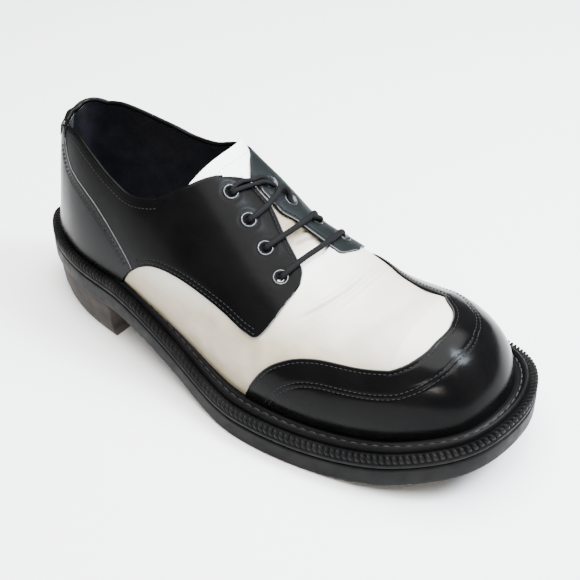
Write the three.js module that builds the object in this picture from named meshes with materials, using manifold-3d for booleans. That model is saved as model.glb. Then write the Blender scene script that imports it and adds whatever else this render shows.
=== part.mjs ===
// Platform oxford, right shoe, empty and standing on its sole.
// Millimetres. X runs from the heel to the toe, Y to the inner side of the foot, Z is up.
//
// The upper and all that is sewn on it are plates between two lifts of one form, the last.
// A place on the form has a turn and a rise. The turn goes once round the shoe: 0 at the back of
// the heel, 1 and 5 beside the heel's pole, 2 and 4 beside the toe's pole, 3 at the tip of the toe.
// Turns below 3 are the outer side. The rise goes from 0 at the sole to 1 on the ridge. A station
// is a turn counted from the heel on either side, so it goes from 0 to 3.
import * as THREE from "three";
import { mergeVertices } from "three/addons/utils/BufferGeometryUtils.js";
import Module from "manifold-3d";

const wasm = await Module();
wasm.setup();

// Sole
const SOLE_LENGTH = 300;
const BALL_WIDTH = 122;
const HEEL_HEIGHT = 23;
const HEEL_BREAST = 75;
const HEEL_TAPER = 3;
const HEEL_INSET = 1;
const HEEL_CHAMFER = 1;
const OUTSOLE_THICK = 10.3;
const EDGE_ROUND = 0.9;
const MIDSOLE_THICK = 5.8;
const BAND_HEIGHT = 2.4;
const RIB_PITCH = 5;
const RIB_DEPTH = 1.1;
const RIB_WIDTH = 4;
const SHOULDER_DROP = 1.2;
const WELT_THICK = 2.5;
const WELT_ROUND = 0.8;
const WELT_PLAY = 0.4;
const TOE_SPRING = 22;
const FEATHER_HEEL = 6.2;
const FEATHER_TOE = 12;

// Upper
const INSTEP_HEIGHT = 80;
const WALL = 2;
const OVERLAY = 1.3;
const COUNTER = 1.8;
const CAP = 1.5;
const TAB = 1;
const TAB_HEIGHT = 0.1;
const TAB_DROP = 0.005;
const TAB_SPAN = 0.8;
const TAB_ROUND = 0.4;
const TONGUE_THICK = 2.6;
const TONGUE_PLAY = 1.2;
const TONGUE_SINK = 2.4;
const TONGUE_SINKS = [1.56, 1.68];
const INSOLE_THICK = 3;
const INSOLE_PLAY = 1.8;
const GAP = 0.3;
const OVERLAY_PLAY = 0.95;
const SEAM_GAP = 0.014;
const CAP_SETBACK = 0.012;

// Lacing
const EYELET_HOLE = 2;
const EYELET_WALL = 0.6;
const EYELET_FLANGE = 3.8;
const EYELET_RIM = 0.9;
const LACE_WIDTH = 3;
const DRILL_LENGTH = 9;

// Outline of the sole, from the back of the heel along the outer side to the toe and back.
// along is a share of the length, across of the ball's width.
const OUTLINE = [
  { along: 0.0, across: 0.01 },
  { along: 0.045, across: -0.135 },
  { along: 0.142, across: -0.26 },
  { along: 0.284, across: -0.339 },
  { along: 0.429, across: -0.413 },
  { along: 0.591, across: -0.508 },
  { along: 0.734, across: -0.498 },
  { along: 0.878, across: -0.42 },
  { along: 0.972, across: -0.264 },
  { along: 1.0, across: 0.003 },
  { along: 0.963, across: 0.266 },
  { along: 0.876, across: 0.431 },
  { along: 0.731, across: 0.501 },
  { along: 0.589, across: 0.458 },
  { along: 0.431, across: 0.333 },
  { along: 0.282, across: 0.295 },
  { along: 0.14, across: 0.28 },
  { along: 0.04, across: 0.19 },
];

// Where the arch meets the floor, where the toe leaves it, and between which places the welt
// widens, as shares of the length
const WAIST_END = 0.587;
const SPRING_START = 0.683;
const WELT_WIDENS = [0.2, 0.633];

// Cross sections of the last. ridge is a share of the instep's height above the sole, centre and
// bulge are shares of the ball's width. outer and inner say how full each side is: 2 is an
// ellipse, more is squarer.
const SECTIONS = [
  { along: 0.113, ridge: 1.105, centre: 0.02, bulge: 0.006, outer: 1.58, inner: 3.08 },
  { along: 0.25, ridge: 1.11, centre: 0.045, bulge: 0.01, outer: 2.1, inner: 3.0 },
  { along: 0.367, ridge: 1.113, centre: 0.045, bulge: 0.011, outer: 2.2, inner: 3.8 },
  { along: 0.467, ridge: 0.975, centre: 0.045, bulge: 0.009, outer: 2.2, inner: 3.9 },
  { along: 0.55, ridge: 0.84, centre: 0.043, bulge: 0.009, outer: 2.2, inner: 2.6 },
  { along: 0.633, ridge: 0.69, centre: 0.034, bulge: 0.011, outer: 2.2, inner: 2.7 },
  { along: 0.717, ridge: 0.595, centre: 0.013, bulge: 0.011, outer: 2.45, inner: 2.3 },
  { along: 0.82, ridge: 0.585, centre: -0.01, bulge: 0.01, outer: 2.75, inner: 2.2 },
];
const TOE_END = { full: 2.1, bulge: -0.005, from: 0.787, to: 0.967 };
const HEEL_END = { full: 1.6, bulge: -0.023, from: 0.147, to: 0.027 };
const HEEL_ROUND = 0.11;
const HEEL_LEAN = 6.2;

// Edges on the form
const TOPLINE_OUTER = [
  { station: 0, rise: 0.603 },
  { station: 0.5, rise: 0.575 },
  { station: 0.9, rise: 0.59 },
  { station: 1.035, rise: 0.573 },
  { station: 1.12, rise: 0.5 },
  { station: 1.205, rise: 0.425 },
  { station: 1.28, rise: 0.396 },
  { station: 1.345, rise: 0.445 },
  { station: 1.38, rise: 0.512 },
  { station: 1.42, rise: 0.64 },
  { station: 1.465, rise: 0.85 },
  { station: 1.5, rise: 0.98 },
  { station: 1.52, rise: 1.0 },
];
const TOPLINE_INNER = [
  { station: 0, rise: 0.603 },
  { station: 0.4, rise: 0.61 },
  { station: 0.715, rise: 0.565 },
  { station: 1.04, rise: 0.47 },
  { station: 1.193, rise: 0.408 },
  { station: 1.259, rise: 0.354 },
  { station: 1.315, rise: 0.35 },
  { station: 1.354, rise: 0.396 },
  { station: 1.404, rise: 0.53 },
  { station: 1.44, rise: 0.68 },
  { station: 1.463, rise: 0.83 },
  { station: 1.478, rise: 0.928 },
  { station: 1.498, rise: 0.99 },
  { station: 1.514, rise: 1.0 },
];
const FACING_OUTER = [
  { station: 1.46, rise: 0.988 },
  { station: 1.535, rise: 0.99 },
  { station: 1.575, rise: 0.982 },
  { station: 1.63, rise: 0.92 },
  { station: 1.69, rise: 0.856 },
  { station: 1.71, rise: 0.825 },
  { station: 1.723, rise: 0.76 },
];
const FACING_INNER = [
  { station: 1.46, rise: 0.985 },
  { station: 1.5, rise: 0.998 },
  { station: 1.558, rise: 0.9985 },
  { station: 1.598, rise: 0.998 },
  { station: 1.63, rise: 0.965 },
  { station: 1.665, rise: 0.95 },
  { station: 1.697, rise: 0.942 },
  { station: 1.723, rise: 0.938 },
  { station: 1.742, rise: 0.915 },
  { station: 1.752, rise: 0.8 },
];
const PANEL_OUTER = [
  { station: 1.24, rise: 0 },
  { station: 1.285, rise: 0.085 },
  { station: 1.355, rise: 0.18 },
  { station: 1.435, rise: 0.25 },
  { station: 1.51, rise: 0.3 },
  { station: 1.59, rise: 0.338 },
  { station: 1.66, rise: 0.348 },
  { station: 1.69, rise: 0.375 },
  { station: 1.71, rise: 0.5 },
  { station: 1.723, rise: 0.7 },
];
const PANEL_INNER = [
  { station: 1.24, rise: 0 },
  { station: 1.285, rise: 0.085 },
  { station: 1.355, rise: 0.18 },
  { station: 1.435, rise: 0.25 },
  { station: 1.51, rise: 0.3 },
  { station: 1.59, rise: 0.338 },
  { station: 1.67, rise: 0.352 },
  { station: 1.71, rise: 0.4 },
  { station: 1.735, rise: 0.54 },
  { station: 1.75, rise: 0.74 },
];
const COUNTER_SEAM = [
  { station: 0.99, rise: 0.61 },
  { station: 1.01, rise: 0.5 },
  { station: 1.04, rise: 0.425 },
  { station: 1.07, rise: 0.388 },
  { station: 1.115, rise: 0.344 },
  { station: 1.165, rise: 0.294 },
  { station: 1.21, rise: 0.238 },
  { station: 1.25, rise: 0.185 },
  { station: 1.28, rise: 0.144 },
  { station: 1.297, rise: 0.113 },
  { station: 1.33, rise: 0.02 },
];
const CAP_OUTER = [
  { station: 1.672, rise: 0 },
  { station: 1.69, rise: 0.1 },
  { station: 1.725, rise: 0.244 },
  { station: 1.76, rise: 0.335 },
  { station: 1.805, rise: 0.413 },
  { station: 1.86, rise: 0.462 },
  { station: 1.97, rise: 0.483 },
  { station: 2.11, rise: 0.55 },
  { station: 2.245, rise: 0.631 },
  { station: 2.5, rise: 0.756 },
  { station: 3, rise: 0.825 },
];
const CAP_INNER = [
  { station: 1.63, rise: 0 },
  { station: 1.66, rise: 0.13 },
  { station: 1.7, rise: 0.29 },
  { station: 1.75, rise: 0.44 },
  { station: 1.8, rise: 0.55 },
  { station: 1.865, rise: 0.675 },
  { station: 1.95, rise: 0.756 },
  { station: 2.11, rise: 0.815 },
  { station: 2.5, rise: 0.832 },
  { station: 3, rise: 0.825 },
];
const THROAT = [
  { station: 1.4, rise: 0.62 },
  { station: 1.5, rise: 0.72 },
  { station: 1.6, rise: 0.68 },
  { station: 1.65, rise: 0.66 },
  { station: 1.68, rise: 0.7 },
  { station: 1.7, rise: 0.8 },
  { station: 1.715, rise: 1 },
];

// Eyelets of each side, from the ankle to the toe, and the tongue's half width
const EYELETS_OUTER = [
  { station: 1.5, rise: 0.844 },
  { station: 1.56, rise: 0.812 },
  { station: 1.62, rise: 0.772 },
  { station: 1.68, rise: 0.713 },
];
const EYELETS_INNER = [
  { station: 1.535, rise: 0.93 },
  { station: 1.583, rise: 0.87 },
  { station: 1.642, rise: 0.785 },
  { station: 1.706, rise: 0.735 },
];
const TONGUE_EDGE = [
  { station: 1.415, rise: 0.62 },
  { station: 1.5, rise: 0.6 },
  { station: 1.6, rise: 0.55 },
  { station: 1.76, rise: 0.5 },
];

const FORM_STEP = 0.01;
const RAYS = 1200;
const LOOP_POINTS = 900;

const clamp = THREE.MathUtils.clamp;

function smooth(from, to, x) {
  const t = clamp((x - from) / (to - from), 0, 1);
  return t * t * (3 - 2 * t);
}

// Value of one column of a table, on a smooth curve through its rows
function follow(table, key, column, x) {
  const last = table.length - 1;
  const at = clamp(x, table[0][key], table[last][key]);
  let i = 0;
  while (i < last - 1 && at >= table[i + 1][key]) i += 1;
  const slope = (k) => {
    const before = table[Math.max(k - 1, 0)];
    const after = table[Math.min(k + 1, last)];
    return (after[column] - before[column]) / (after[key] - before[key]);
  };
  const span = table[i + 1][key] - table[i][key];
  const t = (at - table[i][key]) / span;
  const a = table[i][column];
  const b = table[i + 1][column];
  return (
    (2 * t ** 3 - 3 * t ** 2 + 1) * a +
    (t ** 3 - 2 * t ** 2 + t) * span * slope(i) +
    (3 * t ** 2 - 2 * t ** 3) * b +
    (t ** 3 - t ** 2) * span * slope(i + 1)
  );
}

const section = (column, x) => follow(SECTIONS, "along", column, x / SOLE_LENGTH);

// Height of the sole's underside above the floor
function underside(x) {
  const arch = HEEL_HEIGHT * (1 - smooth(HEEL_BREAST + 2, WAIST_END * SOLE_LENGTH, x));
  const start = SPRING_START * SOLE_LENGTH;
  const spring = TOE_SPRING * clamp((x - start) / (SOLE_LENGTH - start), 0, 1) ** 2;
  return arch + spring;
}

// Heights of the layers above the underside
const MIDSOLE_FLOOR = OUTSOLE_THICK + GAP;
const MIDSOLE_TOP = MIDSOLE_FLOOR + MIDSOLE_THICK;
const FEATHER = MIDSOLE_TOP + GAP;
const WELT_TOP = FEATHER + WELT_THICK;

const outlineCurve = new THREE.CatmullRomCurve3(
  OUTLINE.map((p) => new THREE.Vector3(p.along * SOLE_LENGTH, p.across * BALL_WIDTH, 0)),
  true,
  "centripetal",
);
outlineCurve.arcLengthDivisions = 2000;

// Loop of points at equal steps along the outline, moved in by an inset that may depend on x
function insetLoop(count, inset) {
  const points = outlineCurve.getSpacedPoints(count).slice(0, count);
  return points.map((p, i) => {
    const ahead = points[(i + 1) % count];
    const behind = points[(i + count - 1) % count];
    const along = ahead.clone().sub(behind).normalize();
    const depth = typeof inset === "function" ? inset(p.x, i) : inset;
    return new THREE.Vector3(p.x - along.y * depth, p.y + along.x * depth, 0);
  });
}

const featherInset = (x) =>
  FEATHER_HEEL +
  (FEATHER_TOE - FEATHER_HEEL) *
    smooth(WELT_WIDENS[0] * SOLE_LENGTH, WELT_WIDENS[1] * SOLE_LENGTH, x);

const HEEL_POLE = SECTIONS[0].along * SOLE_LENGTH;
const TOE_POLE = SECTIONS[SECTIONS.length - 1].along * SOLE_LENGTH;

const wrap = (turn) => ((turn % 6) + 6) % 6;
const stationOf = (turn) => (wrap(turn) <= 3 ? wrap(turn) : 6 - wrap(turn));
const isOuter = (turn) => wrap(turn) <= 3;

// The ray of a turn, in plan: it starts on the ridge and runs outwards
function ray(turn) {
  const side = isOuter(turn) ? -1 : 1;
  const station = stationOf(turn);
  const x = HEEL_POLE + (TOE_POLE - HEEL_POLE) * clamp(station - 1, 0, 1);
  const y = section("centre", x) * BALL_WIDTH;
  if (station < 1) {
    const angle = (station * Math.PI) / 2;
    return { x, y, dx: -Math.cos(angle), dy: side * Math.sin(angle) };
  }
  const angle = (Math.max(station - 2, 0) * Math.PI) / 2;
  return { x, y, dx: Math.sin(angle), dy: side * Math.cos(angle) };
}

// Distance along a turn's ray to a loop, for any turn
function reachOf(loop) {
  const table = Array.from({ length: RAYS }, (_, k) => {
    const r = ray((k * 6) / RAYS);
    let best = Infinity;
    loop.forEach((a, i) => {
      const b = loop[(i + 1) % loop.length];
      const ex = b.x - a.x;
      const ey = b.y - a.y;
      const across = r.dx * ey - r.dy * ex;
      const distance = ((a.x - r.x) * ey - (a.y - r.y) * ex) / across;
      const share = ((a.x - r.x) * r.dy - (a.y - r.y) * r.dx) / across;
      if (share >= -1e-9 && share < 1 + 1e-9 && distance > 0) best = Math.min(best, distance);
    });
    return best;
  });
  return (turn) => {
    const t = (wrap(turn) / 6) * RAYS;
    const i = Math.floor(t) % RAYS;
    return table[i] + (table[(i + 1) % RAYS] - table[i]) * (t - Math.floor(t));
  };
}

const featherReach = reachOf(insetLoop(LOOP_POINTS, featherInset));

// Point of the form: a superellipse from the feather line up and over to the ridge
function form(turn, rise) {
  const r = ray(turn);
  const reach = featherReach(turn);
  const foot = { x: r.x + r.dx * reach, y: r.y + r.dy * reach };
  const base = underside(foot.x) + FEATHER;
  const ridge = underside(r.x) + FEATHER + section("ridge", r.x) * INSTEP_HEIGHT;
  const toInner = smooth(-10, 10, foot.y);
  const toToe = smooth(TOE_END.from * SOLE_LENGTH, TOE_END.to * SOLE_LENGTH, foot.x);
  const toHeel = smooth(HEEL_END.from * SOLE_LENGTH, HEEL_END.to * SOLE_LENGTH, foot.x);
  let full = section("outer", r.x) * (1 - toInner) + section("inner", r.x) * toInner;
  full += (TOE_END.full - full) * toToe;
  full += (HEEL_END.full - full) * toHeel;
  let bulge = section("bulge", r.x);
  bulge += (TOE_END.bulge - bulge) * toToe;
  bulge += (HEEL_END.bulge - bulge) * toHeel;
  const angle = (rise * Math.PI) / 2;
  const up = Math.abs(Math.sin(angle)) ** (2 / full);
  const out = Math.abs(Math.cos(angle)) ** (2 / full);
  const swell = up < 0.75 ? 4 * (up / 0.75) * (1 - up / 0.75) : 0;
  const fan = clamp(stationOf(turn), 0, 1) * Math.PI;
  const rounder = 1 + HEEL_ROUND * up * Math.sin(fan) ** 2;
  const lean = HEEL_LEAN * up * Math.cos(fan / 2) ** 2;
  const distance = (reach * out + bulge * BALL_WIDTH * swell) * rounder - lean;
  return new THREE.Vector3(
    r.x + r.dx * distance,
    r.y + r.dy * distance,
    base + (ridge - base) * up,
  );
}

function formNormal(turn, rise) {
  let at = turn;
  const outerSide = isOuter(turn);
  if (rise > 0.999 && stationOf(turn) > 2) at = outerSide ? 2 : 4;
  if (rise > 0.999 && stationOf(turn) < 1) at = outerSide ? 1 : 5;
  const station = stationOf(at);
  const overRidge = rise + FORM_STEP > 1 && station >= 1 && station <= 2;
  const along = form(at + FORM_STEP, rise).sub(form(at - FORM_STEP, rise));
  const above = overRidge
    ? form(6 - at, 2 - rise - FORM_STEP)
    : form(at, Math.min(rise + FORM_STEP, 1));
  const upward = above.sub(form(at, Math.max(rise - FORM_STEP, 0)));
  return along.cross(upward).normalize();
}

// Point lifted off the form. On the feather line it stays level, so the wall stands on the sole.
function lifted(turn, rise, lift) {
  const foot = form(turn, rise);
  const point = foot.clone().add(formNormal(turn, rise).multiplyScalar(lift));
  if (rise === 0) point.z = foot.z;
  return point;
}

// Rise at which the form stands a given height above the feather line
function riseAtHeight(turn, height) {
  const base = form(turn, 0).z;
  let low = 0;
  let high = 1;
  for (let i = 0; i < 24; i += 1) {
    const middle = (low + high) / 2;
    if (form(turn, middle).z - base < height) low = middle;
    else high = middle;
  }
  return low;
}

// Geometry of points and triangles, with shared points merged and flat slivers dropped
function closedGeometry(points, faces) {
  const raw = new THREE.BufferGeometry();
  raw.setAttribute("position", new THREE.Float32BufferAttribute(points.flatMap((p) => [p.x, p.y, p.z]), 3));
  raw.setIndex(faces.flat());
  const merged = mergeVertices(raw, 1e-3);
  const index = Array.from(merged.index.array);
  const kept = [];
  for (let i = 0; i < index.length; i += 3) {
    const [a, b, c] = index.slice(i, i + 3);
    if (a !== b && b !== c && c !== a) kept.push(a, b, c);
  }
  merged.setIndex(kept);
  return merged;
}

const quad = (a, b, c, d) => [
  [a, b, c],
  [a, c, d],
];

// Closed plate between two grids of points. ring joins the last column to the first, and shut says
// where the top edge is closed on the ridge and needs no rim.
function plate(outer, inner, { ring = false, shut = () => false } = {}) {
  const columns = outer.length;
  const rows = outer[0].length;
  const points = [...outer.flat(), ...inner.flat()];
  const o = (i, j) => (i % columns) * rows + j;
  const n = (i, j) => columns * rows + o(i, j);
  const faces = [];
  for (let i = 0; i < (ring ? columns : columns - 1); i += 1) {
    for (let j = 0; j < rows - 1; j += 1) {
      faces.push(...quad(o(i, j), o(i + 1, j), o(i + 1, j + 1), o(i, j + 1)));
      faces.push(...quad(n(i, j), n(i, j + 1), n(i + 1, j + 1), n(i + 1, j)));
    }
    faces.push(...quad(n(i, 0), n(i + 1, 0), o(i + 1, 0), o(i, 0)));
    if (!shut(i)) {
      const top = rows - 1;
      faces.push(...quad(o(i, top), o(i + 1, top), n(i + 1, top), n(i, top)));
    }
  }
  if (!ring) {
    const end = columns - 1;
    for (let j = 0; j < rows - 1; j += 1) {
      faces.push(...quad(n(0, j), o(0, j), o(0, j + 1), n(0, j + 1)));
      faces.push(...quad(o(end, j), n(end, j), n(end, j + 1), o(end, j + 1)));
    }
  }
  return closedGeometry(points, faces);
}

// Closed solid through loops of points laid one over the other, bottom first. partner gives the
// point across from each point, so that the flat ends are ladders of strips across the sole.
function stack(loops, partner) {
  const count = loops[0].length;
  const points = loops.flat();
  const faces = [];
  for (let level = 0; level < loops.length - 1; level += 1) {
    for (let i = 0; i < count; i += 1) {
      const next = (i + 1) % count;
      const low = level * count;
      const high = low + count;
      faces.push(...quad(low + i, low + next, high + next, high + i));
    }
  }
  const top = (loops.length - 1) * count;
  for (let i = 0; i < count / 2; i += 1) {
    const [a, b, c, d] = [i, i + 1, partner(i + 1), partner(i)].map((k) => k % count);
    faces.push(...quad(top + a, top + b, top + c, top + d));
    faces.push(...quad(d, c, b, a));
  }
  return closedGeometry(points, faces);
}

// Sole layer from levels with an inset and a height above the underside
function soleLayer(levels, count) {
  const loops = levels.map(({ inset, height }) =>
    insetLoop(count, inset).map((p, i) => {
      const above = typeof height === "function" ? height(i) : height;
      return new THREE.Vector3(p.x, p.y, underside(p.x) + above);
    }),
  );
  return stack(loops, (i) => count - i);
}

// Even steps from one value to another
const steps = (from, to, count) =>
  Array.from({ length: count + 1 }, (_, i) => from + ((to - from) * i) / count);

// Plate on the form over the given turns, between two edges and two lifts
function overlay(turns, rows, low, high, inner, outer, options) {
  const grid = (lift) =>
    turns.map((turn) => {
      const from = low(turn);
      const to = Math.max(high(turn), from);
      return steps(0, 1, rows).map((t) => lifted(turn, from + (to - from) * t ** 1.15, lift));
    });
  return plate(grid(outer), grid(inner), options);
}

const edge = (outerTable, innerTable) => (turn) =>
  follow(isOuter(turn) ? outerTable : innerTable, "station", "rise", stationOf(turn));

const topline = edge(TOPLINE_OUTER, TOPLINE_INNER);
const facing = edge(FACING_OUTER, FACING_INNER);
const panel = edge(PANEL_OUTER, PANEL_INNER);
const seam = edge(COUNTER_SEAM, COUNTER_SEAM);
const capEdge = edge(CAP_OUTER, CAP_INNER);
const throat = edge(THROAT, THROAT);
const aboveWelt = (turn) => riseAtHeight(turn, WELT_THICK + 3 * GAP);

const toManifold = (geometry) =>
  new wasm.Manifold(
    new wasm.Mesh({
      numProp: 3,
      vertProperties: new Float32Array(geometry.getAttribute("position").array),
      triVerts: new Uint32Array(geometry.index.array),
    }),
  );

function fromManifold(solid) {
  const mesh = solid.getMesh();
  const geometry = new THREE.BufferGeometry();
  geometry.setAttribute("position", new THREE.Float32BufferAttribute(mesh.vertProperties, 3));
  geometry.setIndex(Array.from(mesh.triVerts));
  return geometry;
}

const finishes = {
  rubber: new THREE.MeshStandardMaterial({ color: 0x121214, roughness: 0.55, metalness: 0 }),
  stackedHeel: new THREE.MeshStandardMaterial({ color: 0x1e1715, roughness: 0.75, metalness: 0 }),
  whiteLeather: new THREE.MeshStandardMaterial({ color: 0xe9e4da, roughness: 0.45, metalness: 0 }),
  blackLeather: new THREE.MeshStandardMaterial({ color: 0x0c0c0e, roughness: 0.22, metalness: 0 }),
  lining: new THREE.MeshStandardMaterial({ color: 0x14141c, roughness: 0.8, metalness: 0 }),
  darkMetal: new THREE.MeshStandardMaterial({ color: 0x25262a, roughness: 0.35, metalness: 0.9 }),
  lace: new THREE.MeshStandardMaterial({ color: 0x0a0a0b, roughness: 0.85, metalness: 0 }),
};

const shoe = new THREE.Group();
function add(name, geometry, finish) {
  const mesh = new THREE.Mesh(geometry, finish);
  mesh.name = name;
  shoe.add(mesh);
  return mesh;
}

// Heel block: from the breast round the back, tapered towards the floor
function heelBlock() {
  const breast = 1 + (HEEL_BREAST - HEEL_POLE) / (TOE_POLE - HEEL_POLE);
  const turns = steps(-breast, breast, 35);
  const topHeight = HEEL_HEIGHT - GAP;
  const loop = (inset, height) => {
    const reach = reachOf(insetLoop(LOOP_POINTS / 2, inset));
    return turns.map((turn) => {
      const r = ray(turn);
      const far = reach(turn);
      return new THREE.Vector3(r.x + r.dx * far, r.y + r.dy * far, height);
    });
  };
  const loops = [
    loop(HEEL_TAPER + HEEL_CHAMFER, 0),
    loop(HEEL_TAPER, HEEL_CHAMFER),
    loop(HEEL_INSET, topHeight),
  ];
  return stack(loops, (i) => turns.length - 1 - i);
}

function outsole() {
  const levels = [
    { inset: EDGE_ROUND, height: 0 },
    { inset: 0, height: EDGE_ROUND },
    { inset: 0, height: OUTSOLE_THICK - EDGE_ROUND / 2 },
    { inset: EDGE_ROUND / 2, height: OUTSOLE_THICK },
  ];
  return soleLayer(levels, 100);
}

// Midsole: a smooth band, then a shoulder cut into ribs all round
function midsole() {
  const ribs = Math.round(outlineCurve.getLength() / RIB_PITCH);
  const valley = (i) => (i % 2 ? RIB_DEPTH : 0);
  const levels = [
    { inset: EDGE_ROUND / 2, height: MIDSOLE_FLOOR },
    { inset: 0, height: MIDSOLE_FLOOR + BAND_HEIGHT },
    {
      inset: (x, i) => SHOULDER_DROP / 2 + valley(i),
      height: (i) => MIDSOLE_TOP + SHOULDER_DROP - valley(i),
    },
    { inset: RIB_WIDTH, height: MIDSOLE_TOP },
  ];
  return soleLayer(levels, ribs * 2);
}

// Welt: a strip on the midsole between the ribs and the upper
function welt() {
  const turns = steps(0, 6, 90).slice(0, 90);
  const outerReach = reachOf(insetLoop(LOOP_POINTS / 2, RIB_WIDTH + 2 * GAP));
  const outerPoint = (turn, back, height) => {
    const r = ray(turn);
    const far = outerReach(turn) - back;
    const x = r.x + r.dx * far;
    return new THREE.Vector3(x, r.y + r.dy * far, underside(x) + height);
  };
  const innerPoint = (turn, height) => {
    const p = lifted(turn, riseAtHeight(turn, height - FEATHER), WELT_PLAY);
    return new THREE.Vector3(p.x, p.y, underside(p.x) + height);
  };
  const outer = turns.map((turn) => [
    outerPoint(turn, 0, FEATHER),
    outerPoint(turn, WELT_ROUND, WELT_TOP),
  ]);
  const inner = turns.map((turn) => [
    innerPoint(turn, FEATHER),
    innerPoint(turn, WELT_TOP),
  ]);
  return plate(outer, inner, { ring: true });
}

// Insole inside the upper's wall
function insole() {
  const turns = steps(0, 6, 108).slice(0, 108);
  const loop = (height) =>
    turns.map((turn) => {
      const r = ray(turn);
      const far = featherReach(turn) - WALL - INSOLE_PLAY;
      const x = r.x + r.dx * far;
      return new THREE.Vector3(x, r.y + r.dy * far, underside(x) + FEATHER + height);
    });
  return stack([loop(0), loop(INSOLE_THICK)], (i) => turns.length - i);
}

// Upper: one hollow wall, open underneath, at the collar and along the throat
const THROAT_FRONT = THROAT.at(-1).station;
const TONGUE_FRONT = TONGUE_EDGE.at(-1).station;
function upperEdge(turn) {
  const station = stationOf(turn);
  if (station >= THROAT_FRONT - 1e-6) return 1;
  return Math.min(topline(turn), throat(turn));
}

function upper() {
  const outerSide = [
    ...steps(0, 1, 6).slice(1),
    ...steps(1, 1.36, 7).slice(1),
    ...steps(1.36, THROAT_FRONT, 9).slice(1),
    ...steps(THROAT_FRONT, 2, 3).slice(1),
    ...steps(2, 3, 7).slice(1),
  ];
  outerSide.unshift(0);
  const innerSide = outerSide.slice(1, -1).reverse().map((station) => 6 - station);
  const turns = [...outerSide, ...innerSide];
  const closed = turns.map((turn) => upperEdge(turn) === 1);
  const shut = (i) => closed[i] && closed[(i + 1) % turns.length];
  return overlay(turns, 9, () => 0, upperEdge, -WALL, 0, { ring: true, shut });
}

function toeCap() {
  const start = CAP_OUTER[0].station + CAP_SETBACK;
  const end = 6 - CAP_INNER[0].station - CAP_SETBACK;
  const turns = [...steps(start, 2, 9), ...steps(2, 4, 14).slice(1), ...steps(4, end, 9).slice(1)];
  return overlay(turns, 6, aboveWelt, capEdge, OVERLAY_PLAY, OVERLAY_PLAY + CAP);
}

function quarterEdges(turn) {
  const low = Math.max(panel(turn), seam(turn) + SEAM_GAP, aboveWelt(turn));
  const high = Math.min(topline(turn), facing(turn));
  return { low, high };
}

// Stations where the quarter starts behind, at the seam's top, and ends at the front
function quarterSpan(side) {
  const turnOf = (station) => (side === "outer" ? station : 6 - station);
  const gapAt = (station) => {
    const { low, high } = quarterEdges(turnOf(station));
    return high - low;
  };
  const front = (side === "outer" ? FACING_OUTER : FACING_INNER).at(-1).station;
  const open = steps(0.9, front, 900).filter((station) => gapAt(station) > 0);
  return [open[0], open[open.length - 1]];
}

function quarter(side) {
  const [start, end] = quarterSpan(side);
  const stations = [
    ...steps(start, 1.3, 7),
    ...steps(1.3, 1.5, 6).slice(1),
    ...steps(1.5, 1.69, 6).slice(1),
    ...steps(1.69, end, 4).slice(1),
  ];
  const turns = side === "outer" ? stations : stations.map((station) => 6 - station).reverse();
  const low = (turn) => quarterEdges(turn).low;
  const high = (turn) => quarterEdges(turn).high;
  const sheet = overlay(turns, 7, low, high, OVERLAY_PLAY, OVERLAY_PLAY + OVERLAY);
  let solid = toManifold(sheet);
  for (const place of eyeletPlaces(side)) {
    const drill = new THREE.CylinderGeometry(
      EYELET_HOLE + EYELET_WALL + GAP,
      EYELET_HOLE + EYELET_WALL + GAP,
      DRILL_LENGTH,
      8,
    );
    drill.deleteAttribute("normal");
    drill.deleteAttribute("uv");
    drill.rotateX(Math.PI / 2);
    drill.applyMatrix4(place);
    solid = solid.subtract(toManifold(mergeVertices(drill)));
  }
  return fromManifold(solid);
}

// Frame of each eyelet: its origin on the quarter's outer face, its Z along the face's normal
function eyeletPlaces(side) {
  const table = side === "outer" ? EYELETS_OUTER : EYELETS_INNER;
  return table.map(({ station, rise }) => {
    const turn = side === "outer" ? station : 6 - station;
    const facingNormal = formNormal(turn, rise);
    const turned = new THREE.Quaternion().setFromUnitVectors(new THREE.Vector3(0, 0, 1), facingNormal);
    const origin = lifted(turn, rise, OVERLAY_PLAY + OVERLAY);
    return new THREE.Matrix4().compose(origin, turned, new THREE.Vector3(1, 1, 1));
  });
}

function heelCounter() {
  const low = (turn) => Math.max(aboveWelt(turn), panel(turn));
  const stations = steps(COUNTER_SEAM[0].station, 1.4, 500).filter((station) => seam(station) > low(station));
  const end = stations[stations.length - 1];
  const half = [...steps(0, COUNTER_SEAM[0].station, 6), ...steps(COUNTER_SEAM[0].station, end, 8).slice(1)];
  const turns = [...half.slice(1).reverse().map((s) => -s), ...half];
  const behind = (turn) => stationOf(turn) < COUNTER_SEAM[0].station;
  const high = (turn) => (behind(turn) ? topline(turn) : Math.min(topline(turn), seam(turn)));
  return overlay(turns, 5, low, high, OVERLAY_PLAY, OVERLAY_PLAY + COUNTER);
}

function backTab() {
  const turns = steps(-TAB_SPAN, TAB_SPAN, 10);
  const low = (turn) => topline(turn) - TAB_HEIGHT * (1 - TAB_ROUND * Math.abs(turn));
  const from = OVERLAY_PLAY + COUNTER + GAP;
  return overlay(turns, 2, low, (turn) => topline(turn) - TAB_DROP, from, from + TAB);
}

// Tongue: a plate across the ridge under the facings
function tongue() {
  const stations = steps(TONGUE_EDGE[0].station, TONGUE_FRONT, 11);
  const top = -WALL - TONGUE_PLAY;
  const grid = (lift) =>
    stations.map((station) => {
      const low = follow(TONGUE_EDGE, "station", "rise", station);
      const sink = TONGUE_SINK * smooth(TONGUE_SINKS[0], TONGUE_SINKS[1], station);
      return steps(-1, 1, 8).map((across) => {
        const rise = 1 - (1 - low) * Math.abs(across);
        return lifted(across < 0 ? station : 6 - station, rise, lift - sink);
      });
    });
  return plate(grid(top), grid(top - TONGUE_THICK));
}

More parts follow.
